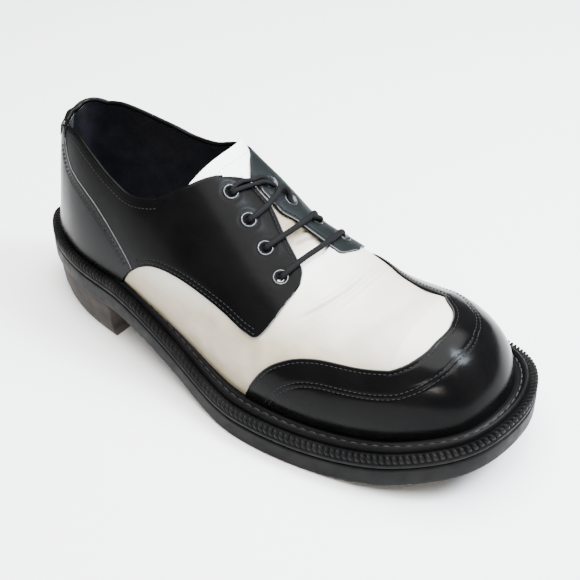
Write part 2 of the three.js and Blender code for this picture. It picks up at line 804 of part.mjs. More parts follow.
// Eyelet: a rolled ring through the facing
function eyelet() {
  const low = -OVERLAY - GAP;
  const barrel = EYELET_HOLE + EYELET_WALL;
  const profile = [
    new THREE.Vector2(EYELET_HOLE, low),
    new THREE.Vector2(barrel, low),
    new THREE.Vector2(barrel, GAP),
    new THREE.Vector2(EYELET_FLANGE, GAP),
    new THREE.Vector2(EYELET_FLANGE - EYELET_RIM, GAP + EYELET_RIM),
    new THREE.Vector2(EYELET_HOLE, GAP + EYELET_RIM / 2),
    new THREE.Vector2(EYELET_HOLE, low),
  ];
  const turned = new THREE.LatheGeometry(profile, 8);
  turned.deleteAttribute("normal");
  turned.deleteAttribute("uv");
  turned.rotateX(Math.PI / 2);
  return mergeVertices(turned, 1e-3);
}

// Lace bar: from one eyelet over the facings to the other, drawn close to the form
function laceBar(row) {
  const lift = OVERLAY_PLAY + OVERLAY + GAP + EYELET_RIM + GAP + LACE_WIDTH / 2;
  const a = EYELETS_OUTER[row];
  const b = EYELETS_INNER[row];
  const path = steps(-1, 1, 8).map((across) => {
    const share = (across + 1) / 2;
    const station = a.station + (b.station - a.station) * share;
    const end = across < 0 ? a.rise : b.rise;
    const rise = 1 - (1 - end) * Math.abs(across);
    return lifted(across < 0 ? station : 6 - station, rise, lift);
  });
  const section = new THREE.Shape(
    Array.from({ length: 8 }, (_, i) => {
      const angle = (i * Math.PI) / 4;
      return new THREE.Vector2(Math.cos(angle), Math.sin(angle)).multiplyScalar(LACE_WIDTH / 2);
    }),
  );
  const extrudePath = new THREE.CatmullRomCurve3(path);
  const tube = new THREE.ExtrudeGeometry(section, { steps: 7, bevelEnabled: false, extrudePath });
  tube.deleteAttribute("normal");
  tube.deleteAttribute("uv");
  return mergeVertices(tube, 1e-3);
}

add("heel", heelBlock(), finishes.stackedHeel);
add("outsole", outsole(), finishes.rubber);
add("midsole", midsole(), finishes.rubber);
add("welt", welt(), finishes.rubber);
add("insole", insole(), finishes.lining);
add("upper", upper(), finishes.whiteLeather);
add("tongue", tongue(), finishes.whiteLeather);
add("toe_cap", toeCap(), finishes.blackLeather);
add("heel_counter", heelCounter(), finishes.blackLeather);
add("back_tab", backTab(), finishes.blackLeather);
for (const side of ["outer", "inner"]) {
  add(`quarter_${side}`, quarter(side), finishes.blackLeather);
  eyeletPlaces(side).forEach((place, row) => {
    const ring = add(`eyelet_${side}_${row + 1}`, eyelet(), finishes.darkMetal);
    ring.applyMatrix4(place);
  });
}
EYELETS_OUTER.forEach((_, row) => {
  add(`lace_bar_${row + 1}`, laceBar(row), finishes.lace);
});

// The origin is under the middle of the shoe's box, which is the sole's
const soleBox = new THREE.Box3().setFromPoints(insetLoop(LOOP_POINTS, 0));
shoe.position.set(-(soleBox.min.x + soleBox.max.x) / 2, -(soleBox.min.y + soleBox.max.y) / 2, 0);

export default shoe;
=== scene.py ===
"""Platform oxford, right shoe: the visible surfaces, materials, light and camera.

Sizes are in millimetres in the sole's frame: x from the heel to the toe, y to the inner side, z up.
A place on the last has a turn and a rise, as in the solid model: the turn goes once round the shoe,
0 at the back of the heel, 3 at the tip of the toe, below 3 on the outer side. The rise goes from 0
at the sole to 1 on the ridge. A station is a turn counted from the heel on either side.
"""

import math

import bpy
import numpy as np
from mathutils import Matrix, Vector


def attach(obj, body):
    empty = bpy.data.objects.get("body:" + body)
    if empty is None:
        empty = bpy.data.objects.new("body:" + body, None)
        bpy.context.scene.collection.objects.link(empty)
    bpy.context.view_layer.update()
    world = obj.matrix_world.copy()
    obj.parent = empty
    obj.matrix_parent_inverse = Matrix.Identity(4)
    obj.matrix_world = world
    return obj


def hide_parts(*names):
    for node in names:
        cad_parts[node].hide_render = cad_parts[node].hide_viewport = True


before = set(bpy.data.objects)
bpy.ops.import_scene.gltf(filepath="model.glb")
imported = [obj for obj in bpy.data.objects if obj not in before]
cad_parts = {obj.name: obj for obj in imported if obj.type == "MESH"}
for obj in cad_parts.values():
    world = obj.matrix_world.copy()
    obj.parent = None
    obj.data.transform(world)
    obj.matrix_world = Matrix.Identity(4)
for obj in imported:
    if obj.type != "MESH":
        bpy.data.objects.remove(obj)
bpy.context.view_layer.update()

# Sole
SOLE_LENGTH = 300.0
BALL_WIDTH = 122.0
HEEL_HEIGHT = 23.0
HEEL_BREAST = 75.0
HEEL_TAPER = 3.0
HEEL_INSET = 1.0
OUTSOLE_THICK = 10.3
EDGE_ROUND = 0.9
MIDSOLE_THICK = 5.8
BAND_HEIGHT = 2.4
RIB_COUNT = 236
RIB_DEPTH = 1.9
RIB_SLANT = 0.8
RIB_WIDTH = 4.0
WELT_THICK = 2.5
TOE_SPRING = 22.0
FEATHER_HEEL = 6.2
FEATHER_TOE = 12.0
GAP = 0.3
WAIST_END = 0.587
SPRING_START = 0.683
WELT_WIDENS = (0.2, 0.633)

# Upper
INSTEP_HEIGHT = 80.0
WALL = 2.0
SUNK = -0.15
OVERLAY = 1.3
COUNTER = 1.8
CAP = 1.5
INSOLE_THICK = 3.0

# Tongue: its thickness, the bow of its end in stations, how far that end turns up and over what run,
# and its seam's distance from it
TONGUE_THICK = 2.0
TONGUE_FRONT = 1.75
TONGUE_BOW = 0.022
TONGUE_TURN_UP = 3.0
TONGUE_TURN_RUN = 12
TONGUE_SEAM_IN = 5.0

# Lacing
LACE_WIDTH = 2.9
TOP_ROW_SLIM = 0.78
HOLE_CUT = 2.95

# Seams: distances from the edges that they follow, below 0 under the edge
CAP_SEAMS = (-2.0, -11.0, -13.2)
COUNTER_SEAMS = (-3.6, -5.4)
PANEL_SEAMS = (2.0, 4.2)
FACING_SEAM = -2.2
COLLAR_SEAM = 3.6

# Stitches: pitch, length and thickness
FINE_SEAM = (2.4, 1.8, 0.36)
TONGUE_SEAM = (2.6, 2.0, 0.42)
WELT_SEAM = (5.2, 4.3, 0.7)

# Camera: its place and its axes in the sole's frame, and its focal length in sensor widths
CAMERA_PLACE = (406.0, -328.1, 347.9)
CAMERA_FORWARD = (-0.47145, 0.65079, -0.59516)
CAMERA_UP = (-0.32859, 0.49664, 0.80335)
SENSOR = 36.0
FOCAL_SHARE = 1.72
SHOE_CENTRE = (0.0, 0.0, 0.05)


def table(columns, rows):
    """Named columns of a table: one array for each column."""
    return dict(zip(columns.split(), np.array(rows, float).T))


OUTLINE = table("along across", [
    (0.0, 0.01), (0.045, -0.135), (0.142, -0.26), (0.284, -0.339), (0.429, -0.413),
    (0.591, -0.508), (0.734, -0.498), (0.878, -0.42), (0.972, -0.264), (1.0, 0.003),
    (0.963, 0.266), (0.876, 0.431), (0.731, 0.501), (0.589, 0.458), (0.431, 0.333),
    (0.282, 0.295), (0.14, 0.28), (0.04, 0.19),
])
SECTIONS = table("along ridge centre bulge outer inner", [
    (0.113, 1.105, 0.02, 0.006, 1.58, 3.08),
    (0.25, 1.11, 0.045, 0.01, 2.1, 3.0),
    (0.367, 1.113, 0.045, 0.011, 2.2, 3.8),
    (0.467, 0.975, 0.045, 0.009, 2.2, 3.9),
    (0.55, 0.84, 0.043, 0.009, 2.2, 2.6),
    (0.633, 0.69, 0.034, 0.011, 2.2, 2.7),
    (0.717, 0.595, 0.013, 0.011, 2.45, 2.3),
    (0.82, 0.585, -0.01, 0.01, 2.75, 2.2),
])
TOE_END = {"full": 2.1, "bulge": -0.005, "start": 0.787, "end": 0.967}
HEEL_END = {"full": 1.6, "bulge": -0.023, "start": 0.147, "end": 0.027}
HEEL_ROUND = 0.11
HEEL_LEAN = 6.2

TOPLINE_OUTER = table("station rise", [
    (0, 0.603), (0.5, 0.575), (0.9, 0.59), (1.035, 0.573), (1.12, 0.5), (1.205, 0.425),
    (1.28, 0.396), (1.345, 0.445), (1.38, 0.512), (1.42, 0.64), (1.465, 0.85), (1.5, 0.98),
    (1.52, 1.0),
])
TOPLINE_INNER = table("station rise", [
    (0, 0.603), (0.4, 0.61), (0.715, 0.565), (1.04, 0.47), (1.193, 0.408), (1.259, 0.354),
    (1.315, 0.35), (1.354, 0.396), (1.404, 0.53), (1.44, 0.68), (1.463, 0.83), (1.478, 0.928),
    (1.498, 0.99), (1.514, 1.0),
])
FACING_OUTER = table("station rise", [
    (1.46, 0.988), (1.535, 0.99), (1.575, 0.982), (1.63, 0.92), (1.69, 0.856), (1.71, 0.825),
    (1.723, 0.76),
])
FACING_INNER = table("station rise", [
    (1.46, 0.985), (1.5, 0.998), (1.558, 0.9985), (1.598, 0.998), (1.63, 0.965), (1.665, 0.95),
    (1.697, 0.942), (1.723, 0.938), (1.742, 0.915), (1.752, 0.8),
])
PANEL_OUTER = table("station rise", [
    (1.24, 0), (1.285, 0.085), (1.355, 0.18), (1.435, 0.25), (1.51, 0.3), (1.59, 0.338),
    (1.66, 0.348), (1.69, 0.375), (1.71, 0.5), (1.723, 0.7),
])
PANEL_INNER = table("station rise", [
    (1.24, 0), (1.285, 0.085), (1.355, 0.18), (1.435, 0.25), (1.51, 0.3), (1.59, 0.338),
    (1.67, 0.352), (1.71, 0.4), (1.735, 0.54), (1.75, 0.74),
])
COUNTER_SEAM = table("station rise", [
    (0.99, 0.61), (1.01, 0.5), (1.04, 0.425), (1.07, 0.388), (1.115, 0.344), (1.165, 0.294),
    (1.21, 0.238), (1.25, 0.185), (1.28, 0.144), (1.297, 0.113), (1.33, 0.02),
])
CAP_OUTER = table("station rise", [
    (1.672, 0), (1.69, 0.1), (1.725, 0.244), (1.76, 0.335), (1.805, 0.413), (1.86, 0.462),
    (1.97, 0.483), (2.11, 0.55), (2.245, 0.631), (2.5, 0.756), (3, 0.825),
])
CAP_INNER = table("station rise", [
    (1.63, 0), (1.66, 0.13), (1.7, 0.29), (1.75, 0.44), (1.8, 0.55), (1.865, 0.675),
    (1.95, 0.756), (2.11, 0.815), (2.5, 0.832), (3, 0.825),
])
THROAT = table("station rise", [
    (1.4, 0.62), (1.5, 0.72), (1.6, 0.68), (1.65, 0.66), (1.68, 0.7), (1.7, 0.8), (1.715, 1),
])
EYELETS_OUTER = table("station rise", [
    (1.5, 0.844), (1.56, 0.812), (1.62, 0.772), (1.68, 0.713),
])
EYELETS_INNER = table("station rise", [
    (1.535, 0.93), (1.583, 0.87), (1.642, 0.785), (1.706, 0.735),
])
TONGUE_EDGE = table("station rise", [
    (1.415, 0.62), (1.5, 0.6), (1.6, 0.55), (1.76, 0.5),
])


def smooth(start, end, x):
    """Smooth step from 0 at start to 1 at end: 3t^2 - 2t^3 of the share t between them."""
    t = np.clip((x - start) / (end - start), 0, 1)
    return t * t * (3 - 2 * t)


def follow(rows, key, column, x):
    """Value of a column at x, on the cubic that passes through the rows with mean slopes."""
    k, y = rows[key], rows[column]
    x = np.clip(x, k[0], k[-1])
    i = np.clip(np.searchsorted(k, x, side="right") - 1, 0, len(k) - 2)
    before = np.maximum(np.arange(len(k)) - 1, 0)
    after = np.minimum(np.arange(len(k)) + 1, len(k) - 1)
    slope = (y[after] - y[before]) / (k[after] - k[before])
    span = k[i + 1] - k[i]
    t = (x - k[i]) / span
    return (
        (2 * t**3 - 3 * t**2 + 1) * y[i]
        + (t**3 - 2 * t**2 + t) * span * slope[i]
        + (3 * t**2 - 2 * t**3) * y[i + 1]
        + (t**3 - t**2) * span * slope[i + 1]
    )


def underside(x):
    """Height of the sole's underside: a smooth arch before the heel, then a parabola up to the toe."""
    arch = HEEL_HEIGHT * (1 - smooth(HEEL_BREAST + 2, WAIST_END * SOLE_LENGTH, x))
    start = SPRING_START * SOLE_LENGTH
    return arch + TOE_SPRING * np.clip((x - start) / (SOLE_LENGTH - start), 0, 1) ** 2


MIDSOLE_FLOOR = OUTSOLE_THICK + GAP
MIDSOLE_TOP = MIDSOLE_FLOOR + MIDSOLE_THICK
FEATHER = MIDSOLE_TOP + GAP


def outline(count):
    """Points at equal steps on a closed centripetal Catmull-Rom curve through the outline's rows."""
    p = np.stack([OUTLINE["along"] * SOLE_LENGTH, OUTLINE["across"] * BALL_WIDTH], 1)
    dense = []
    t = np.arange(80)[:, None] / 80
    for i in range(len(p)):
        a, b, c, d = (p[(i + k) % len(p)] for k in (-1, 0, 1, 2))
        before, here, after = (np.sum((v - u) ** 2) ** 0.25 for u, v in ((a, b), (b, c), (c, d)))
        leave = ((b - a) / before - (c - a) / (before + here) + (c - b) / here) * here
        arrive = ((c - b) / here - (d - b) / (here + after) + (d - c) / after) * here
        square = -3 * b + 3 * c - 2 * leave - arrive
        cube = 2 * b - 2 * c + leave + arrive
        dense.append(b + leave * t + square * t**2 + cube * t**3)
    dense = np.vstack([*dense, dense[0][:1]])
    run = np.r_[0, np.cumsum(np.linalg.norm(np.diff(dense, axis=0), axis=1))]
    at = np.linspace(0, run[-1], count, endpoint=False)
    return np.stack([np.interp(at, run, dense[:, k]) for k in (0, 1)], 1)


def inset_loop(count, inset):
    """The outline moved inwards along its normals by an inset, a number or one for each point."""
    loop = outline(count)
    along = np.roll(loop, -1, 0) - np.roll(loop, 1, 0)
    outward = np.stack([along[:, 1], -along[:, 0]], 1)
    outward /= np.linalg.norm(outward, axis=1)[:, None]
    depth = inset(loop[:, 0]) if callable(inset) else np.broadcast_to(inset, count)
    return loop - outward * depth[:, None]


def feather_inset(x):
    """Inset of the feather line: a smooth step from the heel's to the toe's."""
    start, end = (share * SOLE_LENGTH for share in WELT_WIDENS)
    return FEATHER_HEEL + (FEATHER_TOE - FEATHER_HEEL) * smooth(start, end, x)


HEEL_POLE = SECTIONS["along"][0] * SOLE_LENGTH
TOE_POLE = SECTIONS["along"][-1] * SOLE_LENGTH
RAYS = 1200


def station_of(turn):
    """Turn counted from the heel on either side, from 0 to 3."""
    turn = np.mod(turn, 6)
    return np.where(turn <= 3, turn, 6 - turn)


def is_outer(turn):
    """True on the outer side."""
    return np.mod(turn, 6) <= 3


def ray(turn):
    """Start and direction, in plan, of a turn's ray: straight across between the poles, a fan beyond."""
    station = station_of(turn)
    side = np.where(is_outer(turn), -1.0, 1.0)
    x = HEEL_POLE + (TOE_POLE - HEEL_POLE) * np.clip(station - 1, 0, 1)
    y = follow(SECTIONS, "along", "centre", x / SOLE_LENGTH) * BALL_WIDTH
    heel = np.clip(station, 0, 1) * np.pi / 2
    toe = np.clip(station - 2, 0, 1) * np.pi / 2
    dx = np.where(station < 1, -np.cos(heel), np.sin(toe))
    dy = side * np.where(station < 1, np.sin(heel), np.cos(toe))
    return x, y, dx, dy


def reach_of(loop):
    """Distances along the rays to a closed loop, at even turns."""
    x, y, dx, dy = (v[:, None] for v in ray(np.arange(RAYS) * 6 / RAYS))
    ahead = np.roll(loop, -1, 0)
    ex, ey = (ahead - loop).T
    across = dx * ey - dy * ex
    qx, qy = loop[:, 0] - x, loop[:, 1] - y
    with np.errstate(divide="ignore", invalid="ignore"):
        distance = (qx * ey - qy * ex) / across
        share = (qx * dy - qy * dx) / across
    hit = (share >= -1e-9) & (share < 1 + 1e-9) & (distance > 0)
    return np.where(hit, distance, np.inf).min(1)


def reach_at(reach, turn):
    """A reach between its even turns, by straight interpolation."""
    t = np.mod(turn, 6) / 6 * RAYS
    i = np.floor(t).astype(int) % RAYS
    return reach[i] + (reach[(i + 1) % RAYS] - reach[i]) * (t - np.floor(t))


FEATHER_REACH = reach_of(inset_loop(900, feather_inset))


def form(turn, rise):
    """Point of the last: out from the ridge by reach * cos^(2/full), up by height * sin^(2/full)."""
    turn, rise = np.broadcast_arrays(np.asarray(turn, float), np.asarray(rise, float))
    x, y, dx, dy = ray(turn)
    reach = reach_at(FEATHER_REACH, turn)
    foot_x, foot_y = x + dx * reach, y + dy * reach
    along = x / SOLE_LENGTH
    base = underside(foot_x) + FEATHER
    ridge = underside(x) + FEATHER + follow(SECTIONS, "along", "ridge", along) * INSTEP_HEIGHT
    inner = smooth(-10, 10, foot_y)
    full = follow(SECTIONS, "along", "outer", along) * (1 - inner)
    full = full + follow(SECTIONS, "along", "inner", along) * inner
    bulge = follow(SECTIONS, "along", "bulge", along)
    for end in (TOE_END, HEEL_END):
        share = smooth(end["start"] * SOLE_LENGTH, end["end"] * SOLE_LENGTH, foot_x)
        full = full + (end["full"] - full) * share
        bulge = bulge + (end["bulge"] - bulge) * share
    angle = rise * np.pi / 2
    up = np.abs(np.sin(angle)) ** (2 / full)
    out = np.abs(np.cos(angle)) ** (2 / full)
    swell = np.where(up < 0.75, 4 * (up / 0.75) * (1 - up / 0.75), 0)
    fan = np.clip(station_of(turn), 0, 1) * np.pi
    far = (reach * out + bulge * BALL_WIDTH * swell) * (1 + HEEL_ROUND * up * np.sin(fan) ** 2)
    far = far - HEEL_LEAN * up * np.cos(fan / 2) ** 2
    return np.stack([x + dx * far, y + dy * far, base + (ridge - base) * up], -1)


def unit(v):
    """Vectors at length one."""
    return v / np.maximum(np.linalg.norm(v, axis=-1, keepdims=True), 1e-12)


def form_normal(turn, rise, step=0.01):
    """Outward normal of the last: the cross product of its two central differences."""
    turn, rise = np.broadcast_arrays(np.asarray(turn, float), np.asarray(rise, float))
    top = rise > 0.999
    station = station_of(turn)
    outer = is_outer(turn)
    turn = np.where(top & (station > 2), np.where(outer, 2.0, 4.0), turn)
    turn = np.where(top & (station < 1), np.where(outer, 1.0, 5.0), turn)
    station = station_of(turn)
    over = (rise + step > 1) & (station >= 1) & (station <= 2)
    along = form(turn + step, rise) - form(turn - step, rise)
    above = np.where(
        over[..., None],
        form(6 - turn, 2 - rise - step),
        form(turn, np.minimum(rise + step, 1)),
    )
    return unit(np.cross(along, above - form(turn, np.maximum(rise - step, 0))))


def edge(outer, inner):
    """Rise of an edge at a turn, from a table for each side."""
    def rise(turn):
        station = station_of(turn)
        return np.where(
            is_outer(turn),
            follow(outer, "station", "rise", station),
            follow(inner, "station", "rise", station),
        )
    return rise


topline = edge(TOPLINE_OUTER, TOPLINE_INNER)
facing = edge(FACING_OUTER, FACING_INNER)
panel = edge(PANEL_OUTER, PANEL_INNER)
seam = edge(COUNTER_SEAM, COUNTER_SEAM)
cap_edge = edge(CAP_OUTER, CAP_INNER)
throat = edge(THROAT, THROAT)
THROAT_FRONT = THROAT["station"][-1]

outline_points = outline(900)
ORIGIN = np.append((outline_points.min(0) + outline_points.max(0)) / 2, 0.0)


def to_frame(points):
    """Points from the sole's millimetres to the record's metres."""
    return (np.asarray(points, float) - ORIGIN) / 1000


def grid_faces(columns, rows, ring=False, loop=False, start=0, flip=False):
    """Corner numbers of a grid's faces; ring joins its last column to the first, loop its rows."""
    i, j = np.meshgrid(
        np.arange(columns if ring else columns - 1),
        np.arange(rows if loop else rows - 1),
        indexing="ij",
    )
    i, j = i.ravel(), j.ravel()
    k, m = (i + 1) % columns, (j + 1) % rows
    corners = [i * rows + j, k * rows + j, k * rows + m, i * rows + m]
    faces = np.stack(corners[::-1] if flip else corners, 1)
    return faces + start


def make(name, points, faces, material, replaces=(), weld=0.0):
    """A piece from points in the sole's millimetres and faces of four corners, on the shoe's body."""
    points = np.asarray(points, float).reshape(-1, 3)
    faces = np.asarray(faces, int)
    if weld:
        keys = np.round(points / weld).astype(np.int64)
        _, first, index = np.unique(keys, axis=0, return_index=True, return_inverse=True)
        points, faces = points[first], index.ravel()[faces]
    slivers = [[v for n, v in enumerate(f) if v != f[n - 1]] for f in faces[same_corner(faces)]]
    whole = faces[~same_corner(faces)].tolist()
    whole += [f for f in slivers if len(f) > 2]
    mesh = bpy.data.meshes.new(name)
    mesh.from_pydata(to_frame(points).tolist(), [], whole)
    mesh.polygons.foreach_set("use_smooth", np.ones(len(mesh.polygons), bool))
    mesh.update()
    piece = bpy.data.objects.new(name, mesh)
    bpy.context.collection.objects.link(piece)
    mesh.materials.append(material)
    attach(piece, "root")
    if replaces:
        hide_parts(*replaces)
    return piece


def same_corner(faces):
    """True for faces that have a corner twice in a row."""
    return (faces == np.roll(faces, 1, 1)).any(1)


def rises_between(turns, low, high, distances):
    """Rises of the points that lie at given distances up each turn's line from its low edge."""
    rises = np.empty_like(distances)
    shares = np.linspace(0, 1, 41)
    for i, turn in enumerate(turns):
        rise = low[i] + (high[i] - low[i]) * shares
        run = run_of(form(turn, rise))
        rises[i] = np.interp(distances[i] * run[-1], run, rise)
    return rises


def line_lengths(turns, low, high):
    """Length of each turn's line between two rises."""
    rise = low[:, None] + (high - low)[:, None] * np.linspace(0, 1, 25)
    line = form(turns[:, None], rise)
    return np.linalg.norm(np.diff(line, axis=1), axis=2).sum(1)


def run_of(points):
    """Distance run along a line at each of its points."""
    return np.r_[0, np.cumsum(np.linalg.norm(np.diff(points, axis=0), axis=1))]


def line_distance(points, line):
    """Distance of points to a line of straight pieces, and the share along it of the nearest place."""
    best = np.full(points.shape[:-1], 1e9)
    share = np.zeros(points.shape[:-1])
    run = run_of(line)
    for i in range(len(line) - 1):
        piece = line[i + 1] - line[i]
        t = np.clip(((points - line[i]) @ piece) / (piece @ piece), 0, 1)
        away = np.linalg.norm(points - line[i] - t[..., None] * piece, axis=-1)
        nearer = away < best
        best = np.where(nearer, away, best)
        share = np.where(nearer, (run[i] + t * (run[i + 1] - run[i])) / run[-1], share)
    return best, share


FRINGE = np.array([0, 0.05, 0.16, 0.36, 0.65, 1.0])


def spread(lengths, count, fringe):
    """Shares of each length: close together within a fringe of both ends, and even between them."""
    near = FRINGE * np.minimum(fringe, lengths / 2.4)[:, None] / lengths[:, None]
    first, last = near[:, -1:], 1 - near[:, -1:]
    middle = first + (last - first) * np.linspace(0, 1, count)[1:-1]
    return np.hstack([near, middle, 1 - near[:, ::-1]])


def rounded(distance, radius, power=2.6):
    """Share of the full thickness near an edge: a superellipse over the edge's radius."""
    t = np.clip(distance / radius, 0, 1)
    return (1 - (1 - t) ** power) ** (1 / power)


def leather_plate(start, end, low, high, thick, columns, rows, radius=0.9, base=SUNK, relief=None):
    """Leather plate on the last between two turns and two edges, with its rim rounded.

    The lift is base + (thick - base) * rounded(distance to the rim) + relief."""
    step = abs(end - start) / columns
    scale = np.linalg.norm(form(start + step, 0.3) - form(start, 0.3)) / step
    near = FRINGE * radius / scale * np.sign(end - start)
    middle = np.linspace(start + near[-1], end - near[-1], columns)[1:-1]
    turns = np.r_[start + near, middle, end - near[::-1]]
    lows, highs = low(turns), high(turns)
    highs = np.maximum(highs, lows + 1e-4)
    lengths = line_lengths(turns, lows, highs)
    shares = spread(np.maximum(lengths, 1e-3), rows, radius)
    rises = rises_between(turns, lows, highs, shares)
    grid = np.broadcast_to(turns[:, None], rises.shape)
    points = form(grid, rises)
    normals = form_normal(grid, rises)
    across = np.minimum(shares, 1 - shares) * lengths[:, None]
    run = run_of(points[:, points.shape[1] // 2])
    along = np.minimum(run, run[-1] - run)[:, None]
    share = rounded(np.minimum(across, along), radius)
    lift = base + (thick - base) * share
    if relief is not None:
        lift = lift + relief(points) * share
    return points + normals * lift[..., None]


def moved(turn, rise, distance):
    """A path over the last moved upwards, to its left, by a distance: three steps of Newton's method."""
    step = 0.004
    point = form(turn, rise)
    tangent = unit(np.gradient(point, axis=0))
    goal = point + np.cross(form_normal(turn, rise), tangent) * distance
    for _ in range(3):
        by_turn = (form(turn + step, rise) - form(turn - step, rise)) / (2 * step)
        by_rise = (form(turn, rise + step) - form(turn, rise - step)) / (2 * step)
        off = goal - form(turn, rise)
        a = (by_turn * by_turn).sum(-1)
        b = (by_turn * by_rise).sum(-1)
        c = (by_rise * by_rise).sum(-1)
        p = (by_turn * off).sum(-1)
        q = (by_rise * off).sum(-1)
        scale = np.maximum(a * c - b * b, 1e-6)
        turn = turn + np.clip((c * p - b * q) / scale, -0.25, 0.25)
        rise = rise + np.clip((a * q - b * p) / scale, -0.25, 0.25)
    return turn, rise


def edge_row(rise_at, first, last, offset=0.0, side="outer", count=150):
    """Path along an edge between two stations of a side, moved upwards by an offset."""
    stations = np.linspace(first, last, count)
    turns = stations if side == "outer" else 6 - stations[::-1]
    return moved(turns, rise_at(turns), offset)


def over(station, across):
    """Turn and rise of a place by its station and its share across the ridge, below 0 on the outer side."""
    return np.where(across < 0, station, 6 - station), 1 - np.abs(across)


def curve(rows, count):
    """Points on the cubic through rows of three numbers, at even shares of the run between them."""
    rows = np.asarray(rows, float)
    knots = {"run": run_of(rows * [200, 90, 1])}
    for k in range(3):
        knots[str(k)] = rows[:, k]
    at = np.linspace(0, knots["run"][-1], count)
    return np.stack([follow(knots, "run", str(k), at) for k in range(3)], 1)


def tube(path, radius, sides=10, normals=None, flat=1.0, shape=None):
    """Points of a tube round a path; flat squeezes it along the normals, shape changes its radius."""
    tangent = unit(np.gradient(path, axis=0))
    across = unit(np.cross(tangent, normals))
    upward = unit(np.cross(across, tangent))
    angle = np.arange(sides) * 2 * np.pi / sides
    size = np.broadcast_to(np.asarray(radius, float), len(path))[:, None]
    if shape is not None:
        size = size * shape(run_of(path)[:, None], angle[None, :])
    return (
        path[:, None]
        + across[:, None] * (size * np.cos(angle))[..., None]
        + upward[:, None] * (size * flat * np.sin(angle))[..., None]
    )


def capped(points):
    """A tube's points with both ends drawn in to their middles."""
    first = np.broadcast_to(points[0].mean(0), points[0].shape)
    last = np.broadcast_to(points[-1].mean(0), points[-1].shape)
    return np.concatenate([first[None], points, last[None]])


def stitches(name, rows, pitch, length, thick, material, slot):
    """Stitches along rows of points with normals: each a short bowed thread, its ends sunk in."""
    bodies = []
    bow = np.array([-0.7, 0.1, 0.45, 0.55, 0.45, 0.1, -0.7])
    slim = np.array([0.55, 0.9, 1.0, 1.0, 1.0, 0.9, 0.55])
    for points, normals in rows:
        run = run_of(points)
        count = max(int(run[-1] / pitch), 1)
        centres = (np.arange(count) + 0.5) * run[-1] / count
        at = centres[:, None] + np.linspace(-0.5, 0.5, len(bow)) * length
        line = np.stack([np.interp(at, run, points[:, k]) for k in range(3)], -1)
        up = unit(np.stack([np.interp(at, run, normals[:, k]) for k in range(3)], -1))
        line = line + up * (bow * thick)[None, :, None]
        along = unit(np.gradient(line, axis=1))
        side = unit(np.cross(along, up))
        angle = np.arange(6) * np.pi / 3
        radius = thick / 2 * slim[None, :, None, None]
        bodies.append(
            line[:, :, None]
            + side[:, :, None] * radius * np.cos(angle)[:, None]
            + up[:, :, None] * radius * np.sin(angle)[:, None]
        )
    threads = np.concatenate(bodies)
    per = threads.shape[1] * threads.shape[2]
    faces = np.concatenate([
        grid_faces(threads.shape[1], threads.shape[2], loop=True, start=n * per)
        for n in range(len(threads))
    ])
    return make(name, threads, faces, material)


def surface_row(turn, rise, lift):
    """Points and normals of a row on the last at a lift."""
    normals = form_normal(turn, rise)
    return form(turn, rise) + normals * np.asarray(lift)[..., None], normals


class Nodes:
    """A material's nodes, added and linked by short calls."""

    def __init__(self, name):
        self.material = bpy.data.materials.new(name)
        self.material.use_nodes = True
        self.tree = self.material.node_tree
        self.shader = self.tree.nodes["Principled BSDF"]
        place = self.tree.nodes.new("ShaderNodeTexCoord")
        self.place = place.outputs["Object"]

    def node(self, kind, links=None, **values):
        """A node of a kind, with its inputs linked or set by name, and its settings."""
        node = self.tree.nodes.new("ShaderNode" + kind)
        for key, value in values.items():
            if hasattr(node, key):
                setattr(node, key, value)
            else:
                node.inputs[key.replace("_", " ")].default_value = value
        for key, value in (links or {}).items():
            self.tree.links.new(value, node.inputs[key])
        return node

    def set(self, **values):
        """Values or links on the shader's own sockets."""
        for key, value in values.items():
            socket = self.shader.inputs[key.replace("_", " ")]
            if isinstance(value, bpy.types.NodeSocket):
                self.tree.links.new(value, socket)
            else:
                socket.default_value = value

    def noise(self, scale, detail=4.0, roughness=0.55, vector=None):
        """Noise of a scale in cycles per metre, from 0 to 1."""
        links = {"Vector": vector or self.place}
        return self.node("TexNoise", links, Scale=scale, Detail=detail, Roughness=roughness).outputs["Fac"]

    def cells(self, scale, feature="F1"):
        """Distance to the nearest point of a cell pattern."""
        node = self.node("TexVoronoi", {"Vector": self.place}, Scale=scale, feature=feature)
        return node.outputs["Distance"]

    def ramp(self, factor, stops):
        """Colours or greys over a factor."""
        node = self.node("ValToRGB", {"Fac": factor})
        ramp = node.color_ramp
        while len(ramp.elements) < len(stops):
            ramp.elements.new(0.5)
        for element, (at, colour) in zip(ramp.elements, stops):
            element.position = at
            element.color = (*colour, 1) if isinstance(colour, tuple) else (colour, colour, colour, 1)
        return node.outputs["Color"]

    def mix(self, factor, a, b):
        """Mix of two colours, each a link or a tuple."""
        node = self.node("Mix", data_type="RGBA")
        for name, value in (("Factor", factor), ("A", a), ("B", b)):
            socket = next(s for s in node.inputs if s.name == name and s.enabled)
            if isinstance(value, bpy.types.NodeSocket):
                self.tree.links.new(value, socket)
            else:
                socket.default_value = (*value, 1) if isinstance(value, tuple) else value
        return next(s for s in node.outputs if s.enabled)

    def math(self, operation, a, b=0.0):
        """Arithmetic on links and numbers."""
        node = self.node("Math", operation=operation)
        for socket, value in zip(node.inputs, (a, b)):
            if isinstance(value, bpy.types.NodeSocket):
                self.tree.links.new(value, socket)
            else:
                socket.default_value = value
        return node.outputs[0]

    def bump(self, height, strength, distance, before=None):
        """Bump from a height, after another bump."""
        links = {"Height": height}
        if before is not None:
            links["Normal"] = before
        node = self.node("Bump", links, Strength=strength, Distance=distance)
        return node.outputs["Normal"]


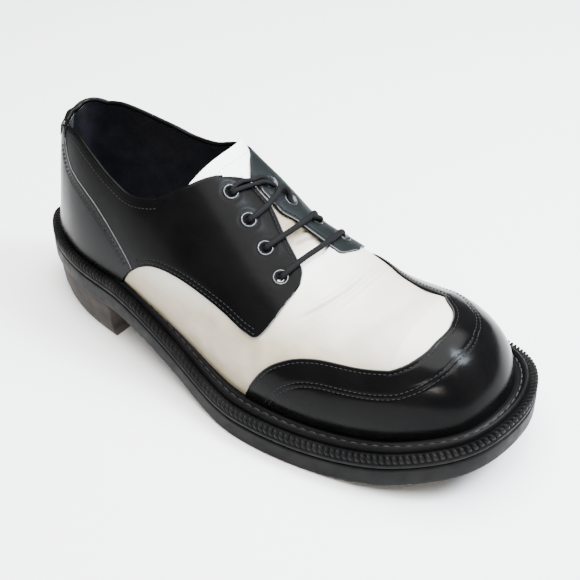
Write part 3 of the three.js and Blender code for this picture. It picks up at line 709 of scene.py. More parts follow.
def white_leather():
    """Warm white calf: fine grain, soft pores, creamier towards the sole, and darker there with painted
    shade of the lower sides away from the overhead light.
    """
    n = Nodes("white_leather")
    height = n.node("SeparateXYZ", {"Vector": n.place}).outputs["Z"]
    # Painted shade: from 84 mm down to 50 mm height the colour turns darker and warmer. This is partly the
    # leather's own cream, mostly the shade of the lower sides.
    low = n.node("MapRange", {"Value": height}, **{"From Min": 0.084, "From Max": 0.05}).outputs[0]
    patches = n.ramp(n.noise(28, 3), [(0.35, (0.89, 0.885, 0.86)), (0.65, (0.93, 0.93, 0.92))])
    shaded_cream = n.ramp(n.noise(90, 5), [(0.3, (0.34, 0.285, 0.195)), (0.7, (0.43, 0.37, 0.27))])
    colour = n.mix(low, patches, shaded_cream)
    grain = n.cells(1500, "SMOOTH_F1")
    fine = n.noise(2600, 2)
    normal = n.bump(fine, 0.12, 0.0002)
    normal = n.bump(grain, 0.22, 0.0002, normal)
    normal = n.bump(n.noise(160, 3), 0.25, 0.0008, normal)
    rough = n.ramp(n.noise(120, 3), [(0.3, 0.36), (0.7, 0.48)])
    n.set(Base_Color=colour, Roughness=rough, Normal=normal, Specular_IOR_Level=0.45, Subsurface_Weight=0.0)
    return n.material


def black_leather(name, gloss, shine):
    """Polished black calf: a smooth glaze over a very fine grain, with faint uneven shine."""
    n = Nodes(name)
    colour = n.ramp(n.noise(45, 4), [(0.3, (0.0018, 0.0018, 0.002)), (0.75, (0.0036, 0.0034, 0.0034))])
    grain = n.cells(2100, "SMOOTH_F1")
    normal = n.bump(n.noise(3400, 2), 0.06, 0.0002)
    normal = n.bump(grain, 0.07, 0.0002, normal)
    normal = n.bump(n.noise(60, 2), 0.1, 0.001, normal)
    rough = n.ramp(n.noise(150, 4), [(0.3, gloss), (0.7, gloss + 0.07)])
    n.set(Base_Color=colour, Roughness=rough, Normal=normal, Specular_IOR_Level=shine)
    return n.material


def tongue_leather():
    """White calf of the tongue, with painted shade in a dark tan where it lies in the gap under the laces.
    """
    n = Nodes("tongue_leather")
    along = n.node("SeparateXYZ", {"Vector": n.place}).outputs["X"]
    share = n.node("MapRange", {"Value": along}, **{"From Min": -0.02, "From Max": 0.036}).outputs[0]
    # Painted shade: a dark tan band over part of the tongue's length where it lies deep in the gap between
    # the facings. It is paler towards its front, with white before and after it.
    white, shade_beige, pale = (0.9, 0.9, 0.88), (0.27, 0.22, 0.15), (0.62, 0.58, 0.5)
    colour = n.ramp(share, [(0.25, white), (0.5, shade_beige), (0.72, shade_beige), (0.86, pale), (1.0, white)])
    normal = n.bump(n.cells(1500, "SMOOTH_F1"), 0.22, 0.0002)
    normal = n.bump(n.noise(260, 4), 0.35, 0.0008, normal)
    rough = n.ramp(n.noise(120, 3), [(0.3, 0.4), (0.7, 0.52)])
    n.set(Base_Color=colour, Roughness=rough, Normal=normal, Specular_IOR_Level=0.4)
    return n.material


def facing_leather():
    """Inner facing: the same calf, dull, its greenish grey a painted reflection of the grazing sheen from
    the surroundings.
    """
    n = Nodes("facing_leather")
    # Painted reflection: the colour is lifted to a greenish grey that stands in for the grazing sheen,
    # while its own specular is kept low.
    colour = n.ramp(n.noise(60, 4), [(0.3, (0.0045, 0.0058, 0.0062)), (0.75, (0.008, 0.01, 0.0106))])
    normal = n.bump(n.noise(3400, 2), 0.1, 0.0002)
    normal = n.bump(n.cells(2100, "SMOOTH_F1"), 0.1, 0.0002, normal)
    n.set(Base_Color=colour, Roughness=0.5, Normal=normal, Specular_IOR_Level=0.08)
    return n.material


def rubber(name="sole_rubber", dust=0.35):
    """Moulded black rubber: fine stipple, a dull skin and a little dust in patches."""
    n = Nodes(name)
    patches = n.math("MULTIPLY", n.ramp(n.noise(60, 6), [(0.45, 0.0), (0.8, 1.0)]), dust)
    colour = n.mix(patches, (0.0028, 0.0028, 0.003), (0.018, 0.016, 0.014))
    normal = n.bump(n.noise(1900, 3), 0.2, 0.0002)
    normal = n.bump(n.noise(240, 3), 0.12, 0.0005, normal)
    rough = n.ramp(n.noise(180, 5), [(0.3, 0.42), (0.7, 0.6)])
    n.set(Base_Color=colour, Roughness=rough, Normal=normal, Specular_IOR_Level=0.07)
    return n.material


def heel_rubber():
    """Heel block: dusty brown black, rubbed grey along the floor, with fine level layers."""
    n = Nodes("heel_block")
    height = n.node("SeparateXYZ", {"Vector": n.place}).outputs["Z"]
    floor = n.node("MapRange", {"Value": height}, **{"From Min": 0.006, "From Max": 0.0}).outputs[0]
    cloud = n.noise(70, 6)
    worn = n.math("MULTIPLY", floor, cloud)
    dusty = n.ramp(cloud, [(0.35, (0.012, 0.010, 0.009)), (0.75, (0.05, 0.04, 0.033))])
    colour = n.mix(worn, dusty, (0.12, 0.105, 0.09))
    layers = n.node("TexWave", {"Vector": n.place}, Scale=28.0, bands_direction="Z").outputs["Fac"]
    normal = n.bump(n.noise(1300, 4), 0.3, 0.0003)
    normal = n.bump(layers, 0.05, 0.0003, normal)
    n.set(Base_Color=colour, Roughness=0.72, Normal=normal, Specular_IOR_Level=0.15)
    return n.material


def suede_lining():
    """Dark navy lining: a short nap with mottled shade."""
    n = Nodes("suede_lining")
    cloud = n.noise(110, 5)
    colour = n.ramp(cloud, [(0.3, (0.0025, 0.0028, 0.0045)), (0.75, (0.008, 0.0085, 0.014))])
    normal = n.bump(n.noise(2300, 4), 0.5, 0.0005)
    normal = n.bump(n.cells(700), 0.2, 0.0005, normal)
    n.set(Base_Color=colour, Roughness=0.9, Normal=normal, Specular_IOR_Level=0.08, Sheen_Weight=0.06)
    n.set(Sheen_Roughness=0.4)
    return n.material


def sock_leather():
    """Sock of the insole: smooth brown black leather, rubbed in patches."""
    n = Nodes("sock_leather")
    colour = n.ramp(n.noise(50, 4), [(0.3, (0.012, 0.011, 0.0105)), (0.75, (0.03, 0.027, 0.025))])
    n.set(Base_Color=colour, Roughness=0.5, Normal=n.bump(n.cells(1400, "SMOOTH_F1"), 0.15, 0.0002))
    n.set(Specular_IOR_Level=0.3)
    return n.material


def thread(name, colour, rough=0.55):
    """Twisted thread: a fine slanted twist in its bump."""
    n = Nodes(name)
    twist = n.node("TexWave", {"Vector": n.place}, Scale=700.0, bands_direction="DIAGONAL").outputs["Fac"]
    shade = n.mix(n.noise(500, 2), colour, tuple(c * 1.7 for c in colour))
    n.set(Base_Color=shade, Roughness=rough, Normal=n.bump(twist, 0.3, 0.0002))
    n.set(Specular_IOR_Level=0.12)
    return n.material


def dark_metal(name="eyelet_metal", colour=(0.03, 0.031, 0.034), rough=0.3):
    """Blackened brass: satin, with fine scratches and rubbed spots."""
    n = Nodes(name)
    rub = n.ramp(n.noise(700, 4), [(0.4, rough), (0.75, rough + 0.15)])
    shade = n.mix(n.noise(400, 3), colour, tuple(c * 1.8 for c in colour))
    n.set(Base_Color=shade, Metallic=0.85, Roughness=rub, Normal=n.bump(n.noise(2500, 2), 0.08, 0.0001))
    return n.material


def cut_edge(name, colour):
    """Line along a leather edge: a matt grey, darker in patches."""
    n = Nodes(name)
    shade = n.mix(n.noise(600, 4), colour, tuple(c * 0.45 for c in colour))
    n.set(Base_Color=shade, Roughness=0.6, Normal=n.bump(n.noise(2400, 3), 0.3, 0.0002))
    n.set(Specular_IOR_Level=0.3)
    return n.material


def lace_cotton():
    """Black braided cotton: dull, with fibres lighter on the crowns."""
    n = Nodes("lace")
    fibres = n.noise(2400, 3)
    colour = n.ramp(fibres, [(0.3, (0.0022, 0.0022, 0.0026)), (0.75, (0.0075, 0.0075, 0.0085))])
    n.set(Base_Color=colour, Roughness=0.75, Normal=n.bump(fibres, 0.35, 0.0002))
    n.set(Specular_IOR_Level=0.08)
    return n.material


def floor_paint():
    """Plain pale floor, even but for a very faint mottle."""
    n = Nodes("floor_paint")
    colour = n.ramp(n.noise(2, 2), [(0.3, (0.86, 0.86, 0.86)), (0.7, (0.88, 0.88, 0.88))])
    n.set(Base_Color=colour, Roughness=0.85)
    return n.material


WHITE = white_leather()
BLACK = black_leather("black_leather", 0.15, 0.05)
QUARTER = black_leather("quarter_calf", 0.2, 0.026)
RUBBER = rubber()
BEAD = rubber("welt_rubber", dust=0.1)
HEEL = heel_rubber()
LINING = suede_lining()
SOCK = sock_leather()
METAL = dark_metal()
# Lighter copy of the eyelet metal: a painted highlight for the eyelets' crowns.
RING_HIGHLIGHT = dark_metal("eyelet_ring_highlight", colour=(0.085, 0.085, 0.092), rough=0.3)
LACE = lace_cotton()
FACING = facing_leather()
TONGUE = tongue_leather()
EDGE_LIGHT = cut_edge("edge_light", (0.16, 0.165, 0.175))
EDGE_GREY = cut_edge("edge_grey", (0.12, 0.12, 0.124))
EDGE_DARK = cut_edge("edge_dark", (0.03, 0.03, 0.032))
BLACK_THREAD = thread("black_thread", (0.011, 0.011, 0.012))
WHITE_THREAD = thread("white_thread", (0.42, 0.41, 0.38))
WELT_THREAD = thread("welt_thread", (0.02, 0.019, 0.018), 0.4)


def sole_layer(name, levels, count, material, replaces):
    """Closed solid of loops laid one over the other, each an inset and a height over the underside."""
    loops = []
    for inset, height in levels:
        plan = inset_loop(count, inset)
        z = underside(plan[:, 0]) + height
        loops.append(np.column_stack([plan, z]))
    points = np.concatenate(loops)
    faces = grid_faces(len(loops), count, loop=True, flip=True)
    i = np.arange(count // 2)
    top = (len(loops) - 1) * count
    partner = (count - i) % count
    ladder = np.stack([i, i + 1, (count - i - 1) % count, partner], 1)
    faces = np.concatenate([faces, ladder[:, ::-1], ladder + top])
    return make(name, points, faces, material, replaces)


def outsole():
    """Outsole: a band with rounded edges and a shallow line in its side."""
    h = OUTSOLE_THICK
    levels = [
        (9, 0), (2.5, 0), (EDGE_ROUND, 0.05), (0.35, 0.3), (0.05, EDGE_ROUND), (0, 1.6), (0, h * 0.45),
        (0, h - 1.7), (0.1, h - 0.9), (0.45, h - 0.35), (1.1, h), (9, h),
    ]
    return sole_layer("sole_outsole", levels, 520, RUBBER, ["outsole"])


def midsole():
    """Midsole: a band above a groove, then a shoulder with ribs.

    Over a rib's pitch the shoulder sinks by depth * exp(-((share - 0.5) / 0.17)^2), and the share
    shifts with the height, so that the ribs slant."""
    per = 10
    count = RIB_COUNT * per
    share = np.arange(count) / per

    def dip(level):
        at = np.mod(share + RIB_SLANT * level, 1.0) - 0.5
        return RIB_DEPTH * np.exp(-((at / 0.17) ** 2))
    f, t = MIDSOLE_FLOOR, MIDSOLE_TOP
    levels = [
        (9, f), (1.2, f), (0.55, f + 0.15), (0.2, f + 0.6), (0.1, f + 1.3), (0.15, f + BAND_HEIGHT),
        (0.5, f + BAND_HEIGHT + 0.3), (0.55 + 0.2 * dip(0), f + BAND_HEIGHT + 0.7),
        (0.1 + 0.7 * dip(0.1), f + BAND_HEIGHT + 1.4), (0.15 + 0.85 * dip(0.3), t - 0.6 - 0.3 * dip(0.3)),
        (0.6 + 0.75 * dip(0.5), t + 0.4 - 0.75 * dip(0.5)),
        (1.4 + 0.4 * dip(0.7), t + 1.0 - 0.9 * dip(0.7)), (2.4, t + 1.0 - 0.8 * dip(0.9)),
        (3.3, t + 0.5 - 0.3 * dip(1.0)), (RIB_WIDTH + 0.1, t - 0.1), (9, t - 0.1),
    ]
    return sole_layer("sole_midsole", levels, count, RUBBER, ["midsole"])


def heel_block():
    """Heel block: tapered towards the floor, hollowed a little in its middle, its breast curved in."""
    breast = 1 + (HEEL_BREAST - HEEL_POLE) / (TOE_POLE - HEEL_POLE)
    turns = np.linspace(-breast, breast, 221)
    x, y, dx, dy = ray(turns)
    top = HEEL_HEIGHT - 0.05
    levels = [
        (HEEL_TAPER + 9, 0), (HEEL_TAPER + 1.6, 0), (HEEL_TAPER + 0.9, 0.1), (HEEL_TAPER + 0.5, 0.5),
        (HEEL_TAPER + 0.35, 1.1), (HEEL_TAPER - 0.4, 5.5), (HEEL_TAPER - 0.45, 6.0),
        (HEEL_TAPER - 0.75, 6.2), (HEEL_TAPER - 1.1, 11), (HEEL_INSET + 0.5, 18),
        (HEEL_INSET + 0.2, top - 0.8), (HEEL_INSET + 0.6, top - 0.2),
        (HEEL_INSET + 1.4, top), (HEEL_TAPER + 9, top),
    ]
    loops = []
    for inset, height in levels:
        far = reach_at(reach_of(inset_loop(600, inset)), turns)
        loops.append(np.column_stack([x + dx * far, y + dy * far, np.full(len(turns), float(height))]))
    count = len(turns)
    faces = grid_faces(len(loops), count, loop=True, flip=True)
    i = np.arange(count // 2)
    ladder = np.stack([i, i + 1, count - 2 - i, count - 1 - i], 1)
    top = (len(loops) - 1) * count
    faces = np.concatenate([faces, ladder[:, ::-1], ladder + top])
    return make("heel_block", np.concatenate(loops), faces, HEEL, ["heel"])


def welt_rows(turns, shares):
    """Points across the welt, from its outer edge at share 0 to the upper at share 1."""
    x, y, dx, dy = ray(turns)
    outer = reach_at(reach_of(inset_loop(600, RIB_WIDTH + 0.5)), turns)
    inner = reach_at(FEATHER_REACH, turns) - 1.5
    far = outer[:, None] + (inner - outer)[:, None] * shares
    px = x[:, None] + dx[:, None] * far
    py = y[:, None] + dy[:, None] * far
    return px, py, outer - inner


def welt():
    """Welt: a strip with a raised bead along its outer edge and a sunk channel for its stitches.

    Across it, the bead adds 0.9 exp(-((d-1.5)/0.8)^2) and the channel takes 1.1 exp(-((d-3.3)/0.9)^2)."""
    turns = np.linspace(0, 6, 721)[:-1]
    shares = np.r_[0, 0.02, 0.05, 0.1, np.linspace(0.16, 1, 24)]
    px, py, width = welt_rows(turns, shares)
    t = WELT_THICK
    across = shares * width[:, None]
    edge_roll = t * rounded(across, 1.1)
    channel = -1.1 * np.exp(-(((across - 3.3) / 0.9) ** 2))
    bead = 0.9 * np.exp(-(((across - 1.5) / 0.8) ** 2))
    z = underside(px) + MIDSOLE_TOP + edge_roll + channel + bead
    top = np.stack([px, py, z], -1)
    faces = grid_faces(len(turns), len(shares), ring=True)
    return make("welt_strip", top, faces, BEAD, ["welt"])


def welt_stitches():
    """Welt's seam: long stitches in its channel."""
    turns = np.linspace(0, 6, 1401)[:-1]
    _, _, width = welt_rows(turns, np.array([0.0]))
    x, y, dx, dy = ray(turns)
    far = reach_at(reach_of(inset_loop(600, RIB_WIDTH + 0.5)), turns) - 3.3
    px, py = x + dx * far, y + dy * far
    z = underside(px) + MIDSOLE_TOP + WELT_THICK - 0.95
    points = np.stack([px, py, z], 1)
    normals = np.broadcast_to([0.0, 0.0, 1.0], points.shape)
    return stitches("welt_seam", [(points, normals)], *WELT_SEAM, WELT_THREAD, "sole_rubber")


def upper_edge(turn):
    """Top edge of the white upper: the topline, the throat or, in front of it, the ridge."""
    station = station_of(turn)
    return np.where(station >= THROAT_FRONT, 1.0, np.minimum(topline(turn), throat(turn)))


# Creases: depth, half width and lip, then places by station and share across the ridge
CREASES = [
    (1.1, 1.5, 0.4, [(1.74, -0.494), (1.77, -0.369), (1.8, -0.206), (1.815, -0.037), (1.815, 0.156),
                       (1.795, 0.431)]),
    (0.75, 0.9, 0.45, [(1.765, -0.487), (1.795, -0.337), (1.82, -0.181), (1.83, -0.019), (1.83, 0.156),
                     (1.81, 0.431)]),
    (0.55, 0.8, 0.45, [(1.753, -0.44), (1.784, -0.29), (1.808, -0.12), (1.82, 0.06)]),
    (0.45, 1.2, 0.3, [(1.745, -0.369), (1.775, -0.225), (1.795, -0.062), (1.795, 0.094)]),
    (0.9, 6.0, 0.25, [(1.83, -0.5), (1.88, -0.3), (1.925, -0.087), (1.945, 0.156), (1.925, 0.438)]),
    (0.4, 3.2, 0.3, [(1.69, -0.62), (1.685, -0.75), (1.68, -0.88)]),
    (0.4, 3.0, 0.3, [(1.725, -0.56), (1.725, -0.675), (1.72, -0.79)]),
    (0.3, 2.4, 0.3, [(1.655, -0.68), (1.65, -0.78), (1.648, -0.9)]),
    (0.3, 2.4, 0.3, [(1.6, -0.68), (1.598, -0.8), (1.6, -0.9)]),
    (0.35, 3.0, 0.3, [(1.545, -0.72), (1.54, -0.82), (1.545, -0.93)]),
]
TONGUE_CREASES = [
    (1.3, 0.7, 0.3, [(1.643, -0.03), (1.65, 0.03), (1.655, 0.1)]),
    (1.3, 0.7, 0.3, [(1.66, -0.06), (1.668, 0.01), (1.674, 0.07)]),
    (0.5, 1.0, 0.4, [(1.62, -0.02), (1.628, 0.03), (1.636, 0.09)]),
]


def crease_relief(creases, points):
    """Sum of creases: in each, a trough exp(-(d/w)^2) between two low lips at 2.1 w.

    A crease fades out over the last quarter of its line."""
    relief = np.zeros(points.shape[:-1])
    for depth, width, lip, places in creases:
        rows = np.array([(*place, 0.0) for place in places])
        path = curve(rows, 28)
        distance, share = line_distance(points, form(*over(path[:, 0], path[:, 1])))
        fade = smooth(0, 0.25, share) * smooth(1, 0.75, share)
        trough = np.exp(-((distance / width) ** 2))
        lips = np.exp(-(((distance - 2.1 * width) / (1.1 * width)) ** 2))
        relief = relief + depth * fade * (lip * lips - trough)
    return relief


def upper():
    """Outer skin of the white upper: one sheet round the shoe, closed over the ridge before the throat."""
    half = np.r_[
        np.linspace(0, 1, 24)[:-1],
        np.linspace(1, 1.36, 26)[:-1],
        np.linspace(1.36, THROAT_FRONT, 90)[:-1],
        np.linspace(THROAT_FRONT, 2, 160)[:-1],
        np.linspace(2, 3, 60),
    ]
    turns = np.r_[half, (6 - half[1:-1])[::-1]]
    shares = np.broadcast_to(np.linspace(0, 1, 96) ** 0.9, (len(turns), 96))
    rises = rises_between(turns, np.zeros(len(turns)), upper_edge(turns), shares)
    grid = np.broadcast_to(turns[:, None], rises.shape)
    points = form(grid, rises)
    points = points + form_normal(grid, rises) * crease_relief(CREASES, points)[..., None]
    faces = grid_faces(len(turns), 96, ring=True)
    return make("vamp_leather", points, faces, WHITE, ["upper"], weld=0.004)


def lining():
    """Lining: the wall's inner face, 2 mm inside the last, from the insole up to the topline."""
    turns = np.linspace(0, 6, 361)[:-1]
    station = station_of(turns)
    under_throat = np.minimum(throat(turns), topline(turns)) - 0.01
    highs = np.where(station > 1.38, under_throat, topline(turns))
    highs = np.where(station > THROAT_FRONT, 1.0, highs)
    shares = np.broadcast_to(np.linspace(0, 1, 46), (len(turns), 46))
    rises = rises_between(turns, np.zeros(len(turns)), highs, shares)
    grid = np.broadcast_to(turns[:, None], rises.shape)
    points = form(grid, rises) - form_normal(grid, rises) * WALL
    faces = grid_faces(len(turns), 46, ring=True, flip=True)
    return make("upper_lining", points, faces, LINING, weld=0.004)


def insole():
    """Insole with its sock: a gently dished bed inside the wall, its rim rolled down."""
    turns = np.linspace(0, 6, 241)[:-1]
    x, y, dx, dy = ray(turns)
    far = reach_at(FEATHER_REACH, turns) - WALL - 0.3
    shares = np.array([1, 1, 0.985, 0.95, 0.88, 0.75, 0.55, 0.3, 0.0])
    drops = np.array([-3.0, -0.9, -0.25, 0.0, -0.1, -0.35, -0.6, -0.7, -0.7])
    px = x[:, None] + dx[:, None] * far[:, None] * shares
    py = y[:, None] + dy[:, None] * far[:, None] * shares
    z = underside(px) + FEATHER + INSOLE_THICK + drops
    points = np.stack([px, py, z], -1)
    faces = grid_faces(len(turns), len(shares), ring=True)
    return make("insole_sock", points, faces, SOCK, ["insole"], weld=0.004)


def plate_piece(name, points, material, replaces=(), holes=()):
    """A piece from a leather plate's grid, cut away round the centres of its holes."""
    faces = grid_faces(points.shape[0], points.shape[1])
    middle = points.reshape(-1, 3)[faces].mean(1)
    for centre in holes:
        away = np.linalg.norm(middle - centre, axis=1) > HOLE_CUT
        faces, middle = faces[away], middle[away]
    return make(name, points, faces, material, replaces, weld=0.004)


def low_rise(turn):
    """Rise just above the feather line, hidden behind the welt."""
    return np.full(np.shape(turn), 0.002)


def seam_grooves(rows, depth=0.16, width=0.6):
    """Relief of seams: a shallow groove exp(-(d/w)^2) along each of their rows."""
    lines = [form(turn[::3], rise[::3]) for turn, rise in rows]

    def relief(points):
        total = np.zeros(points.shape[:-1])
        for line in lines:
            distance, _ = line_distance(points, line)
            total = total - depth * np.exp(-((distance / width) ** 2))
        return total
    return relief


def stitched(name, rows, lift):
    """Seam of black stitches along rows of turns and rises at a lift, a number or one for each turn."""
    lines = []
    for turn, rise in rows:
        high = lift(turn) if callable(lift) else np.full(len(turn), lift)
        lines.append(surface_row(turn, rise, high))
    return stitches(name, lines, *FINE_SEAM, BLACK_THREAD, "black_leather")


def rim_line(name, turn, rise, lift, radius, material):
    """Grey line that shows along a rim: a thin roll on it."""
    points, normals = surface_row(turn, rise, np.full(len(turn), lift))
    skin = capped(tube(points, radius, 8, normals=normals))
    faces = grid_faces(skin.shape[0], skin.shape[1], loop=True)
    return make(name, skin, faces, material)


def cap_path(offset):
    """Path along the cap's edge from side to side, moved by an offset."""
    turns = np.linspace(1.69, 6 - 1.66, 420)
    return moved(turns, cap_edge(turns), offset)


def toe_cap():
    """Toe cap: smooth leather over the toe, its edge skived and turned, with a single and a double seam."""
    start = CAP_OUTER["station"][0] + 0.004
    end = 6 - CAP_INNER["station"][0] - 0.004
    rows = [cap_path(offset) for offset in CAP_SEAMS]
    relief = seam_grooves(rows)
    points = leather_plate(start, end, low_rise, cap_edge, CAP, 300, 84, radius=1.1, relief=relief)
    plate_piece("cap_leather", points, BLACK, ["toe_cap"])
    stitched("cap_stitches", rows, CAP - 0.1)
    rim_line("cap_edge_line", *cap_path(-0.25), CAP * 0.8, 0.28, EDGE_DARK)


def counter_low(turn):
    """Lower edge of the counter: the sole, then the panel's edge."""
    return np.maximum(low_rise(turn), panel(turn))


def counter_high(turn):
    """Upper edge of the counter: the topline round the heel, then the seam."""
    behind = station_of(turn) < COUNTER_SEAM["station"][0]
    return np.where(behind, topline(turn), np.minimum(topline(turn), seam(turn)))


def seam_start(side):
    """Station where the counter's seam leaves the topline on a side."""
    stations = np.linspace(1.0, 1.1, 200)
    turns = stations if side == "outer" else 6 - stations
    return stations[np.argmax(seam(turns) <= topline(turns) - 0.012)]


def seam_end():
    """Station where the counter's seam meets the panel's edge."""
    stations = np.linspace(1.2, 1.33, 400)
    return stations[np.argmax(seam(stations) <= panel(stations))]


def heel_counter():
    """Heel counter: leather round the heel, over the quarters, with a double seam behind its edge."""
    end = seam_end()
    rows = [
        edge_row(seam, seam_start(side) + 0.006, 1.29, offset, side)
        for offset in COUNTER_SEAMS
        for side in ("outer", "inner")
    ]
    relief = seam_grooves(rows)
    points = leather_plate(
        -end, end, counter_low, counter_high, COUNTER, 240, 64, radius=0.8, relief=relief,
    )
    plate_piece("counter_leather", points, QUARTER, ["heel_counter"])
    stitched("counter_stitches", rows, COUNTER - 0.1)
    for side in ("outer", "inner"):
        path = edge_row(seam, seam_start(side), end - 0.002, -0.2, side)
        rim_line(f"counter_edge_{side}", *path, COUNTER * 0.8, 0.33, EDGE_GREY)


def back_tab():
    """Back tab: a small strip over the counter at the collar."""
    def low(turn):
        return topline(turn) - 0.006 - 0.09 * np.sqrt(np.clip(1 - (turn / 0.82) ** 2, 0, 1))

    def high(turn):
        return topline(turn) - 0.004
    points = leather_plate(-0.78, 0.78, low, high, COUNTER + 0.5, 90, 18, radius=0.6, base=COUNTER - 0.2)
    return plate_piece("tab_leather", points, QUARTER, ["back_tab"])


def quarter_low(turn):
    """Lower edge of a quarter: the panel's edge, or under the counter."""
    return np.maximum(np.maximum(panel(turn), seam(turn) - 0.02), low_rise(turn))


def quarter_high(turn):
    """Upper edge of a quarter: the topline, then the facing's edge."""
    return np.minimum(topline(turn), facing(turn))


def eyelet_places(side):
    """Centres of a side's eyelets on the facing, and the normals there."""
    rows = EYELETS_OUTER if side == "outer" else EYELETS_INNER
    turns = rows["station"] if side == "outer" else 6 - rows["station"]
    return surface_row(turns, rows["rise"], np.full(len(turns), OVERLAY))


def quarter(side):
    """Quarter with its facing: cut through at its eyelets and pressed in a ring round each.

    The press is -0.2 exp(-((d-4.4)/1.1)^2) + 0.05 exp(-((d-6.2)/1.5)^2) at a distance d."""
    front = (FACING_OUTER if side == "outer" else FACING_INNER)["station"][-1]
    stations = np.linspace(0.9, front, 900)
    turns = stations if side == "outer" else 6 - stations
    gap = quarter_high(turns) - quarter_low(turns)
    ends = (stations[np.argmax(gap > 0)], front)
    first, last = ends if side == "outer" else (6 - ends[1], 6 - ends[0])
    facing_rows = [edge_row(facing, 1.49, front - 0.03, FACING_SEAM, side)]
    panel_rows = [edge_row(panel, 1.33, front - 0.036, offset, side) for offset in PANEL_SEAMS]
    grooves = seam_grooves(facing_rows + panel_rows)
    centres, normals = eyelet_places(side)
    middles = centres - normals * OVERLAY

    def relief(points):
        total = grooves(points)
        for middle in middles:
            away = np.linalg.norm(points - middle, axis=-1)
            total = total - 0.2 * np.exp(-(((away - 4.4) / 1.1) ** 2))
            total = total + 0.05 * np.exp(-(((away - 6.2) / 1.5) ** 2))
        return total

    points = leather_plate(
        first, last, quarter_low, quarter_high, OVERLAY, 300, 100, radius=0.7, relief=relief,
    )
    leather = FACING if side == "inner" else QUARTER
    plate_piece(f"quarter_{side}_leather", points, leather, [f"quarter_{side}"], centres)
    stitched(f"quarter_{side}_stitches", facing_rows + panel_rows, OVERLAY - 0.1)
    top = edge_row(quarter_high, 1.53, front, -0.2, side)
    rim_line(f"facing_{side}_edge", *top, OVERLAY * 0.75, 0.3, EDGE_GREY)
    foot = edge_row(panel, 1.64, front, 0.2, side)
    rim_line(f"panel_{side}_edge", *foot, OVERLAY * 0.75, 0.3, EDGE_LIGHT)


# Eyelet's section: radius, height over the facing
EYELET_PROFILE = [
    (3.95, -0.4), (3.9, -0.05), (3.75, 0.22), (3.55, 0.38), (3.35, 0.38), (3.15, 0.2), (2.9, -0.05),
    (2.6, -0.3), (2.3, -0.6), (2.1, -0.95), (2.0, -1.3), (2.0, -1.6), (0.0, -1.6),
]
CROWN = (3, 4)


def eyelets(side):
    """Eyelets: each a rolled ring turned about its normal, with a painted highlight in lighter metal on its
    crown and a dark barrel.
    """
    profile = np.array(EYELET_PROFILE)
    angle = np.arange(40) * 2 * np.pi / 40
    for row, (centre, normal) in enumerate(zip(*eyelet_places(side))):
        along = unit(np.cross(normal, [0.0, 1.0, 0.2]))
        across = np.cross(normal, along)
        ring = along * np.cos(angle)[:, None] + across * np.sin(angle)[:, None]
        points = centre + ring[:, None] * profile[:, :1] + normal * profile[:, 1:]
        faces = grid_faces(40, len(profile), ring=True)
        node = f"eyelet_{side}_{row + 1}"
        piece = make(f"{node}_ring", points, faces, METAL, [node], weld=0.004)
        piece.data.materials.append(RING_HIGHLIGHT)
        place = np.array([polygon.center[:] for polygon in piece.data.polygons])
        away = place - to_frame(centre)
        height = away @ normal
        radius = np.linalg.norm(away - height[:, None] * normal, axis=1) * 1000
        # The crown's faces take the lighter metal, a painted highlight.
        outer_radius, inner_radius = profile[CROWN[0], 0], profile[CROWN[1], 0]
        crown = (radius < outer_radius) & (radius > inner_radius)
        piece.data.polygons.foreach_set("material_index", crown.astype(int))


# Laces: for each row its strands, each a list of station, share across the ridge and lift
LACE_ROWS = [
    [
        [(1.5, -0.156, 0.2), (1.5, -0.148, 1.7), (1.499, -0.115, 2.5), (1.503, -0.06, 2.6),
         (1.512, -0.01, 2.8), (1.52, 0.03, 2.8), (1.53, 0.055, 2.0), (1.535, 0.067, 0.2)],
        [(1.502, -0.156, 0.2), (1.504, -0.146, 1.7), (1.509, -0.11, 2.5), (1.517, -0.05, 2.8),
         (1.524, 0.0, 3.1), (1.538, 0.04, 3.2), (1.546, 0.062, 2.4), (1.537, 0.067, 0.2)],
    ],
    [
        [(1.56, -0.188, 0.2), (1.562, -0.178, 1.8), (1.566, -0.135, 2.7), (1.568, -0.05, 2.8),
         (1.563, 0.02, 3.2), (1.556, 0.07, 4.0), (1.562, 0.115, 3.8), (1.574, 0.135, 2.4),
         (1.583, 0.128, 0.2)],
    ],
    [
        [(1.62, -0.228, 0.2), (1.622, -0.215, 1.8), (1.628, -0.165, 2.7), (1.637, -0.03, 2.8),
         (1.638, 0.08, 3.0), (1.634, 0.17, 3.6), (1.632, 0.215, 3.2), (1.637, 0.224, 1.9),
         (1.642, 0.215, 0.2)],
        [(1.632, 0.13, 2.6), (1.642, 0.155, 3.6), (1.65, 0.19, 3.6), (1.648, 0.213, 2.2),
         (1.643, 0.215, 0.2)],
    ],
    [
        [(1.68, -0.287, 0.2), (1.683, -0.273, 1.8), (1.688, -0.22, 2.7), (1.701, -0.03, 2.8),
         (1.704, 0.08, 2.8), (1.702, 0.17, 3.2), (1.699, 0.235, 3.2), (1.7, 0.268, 2.2),
         (1.706, 0.265, 0.2)],
    ],
]


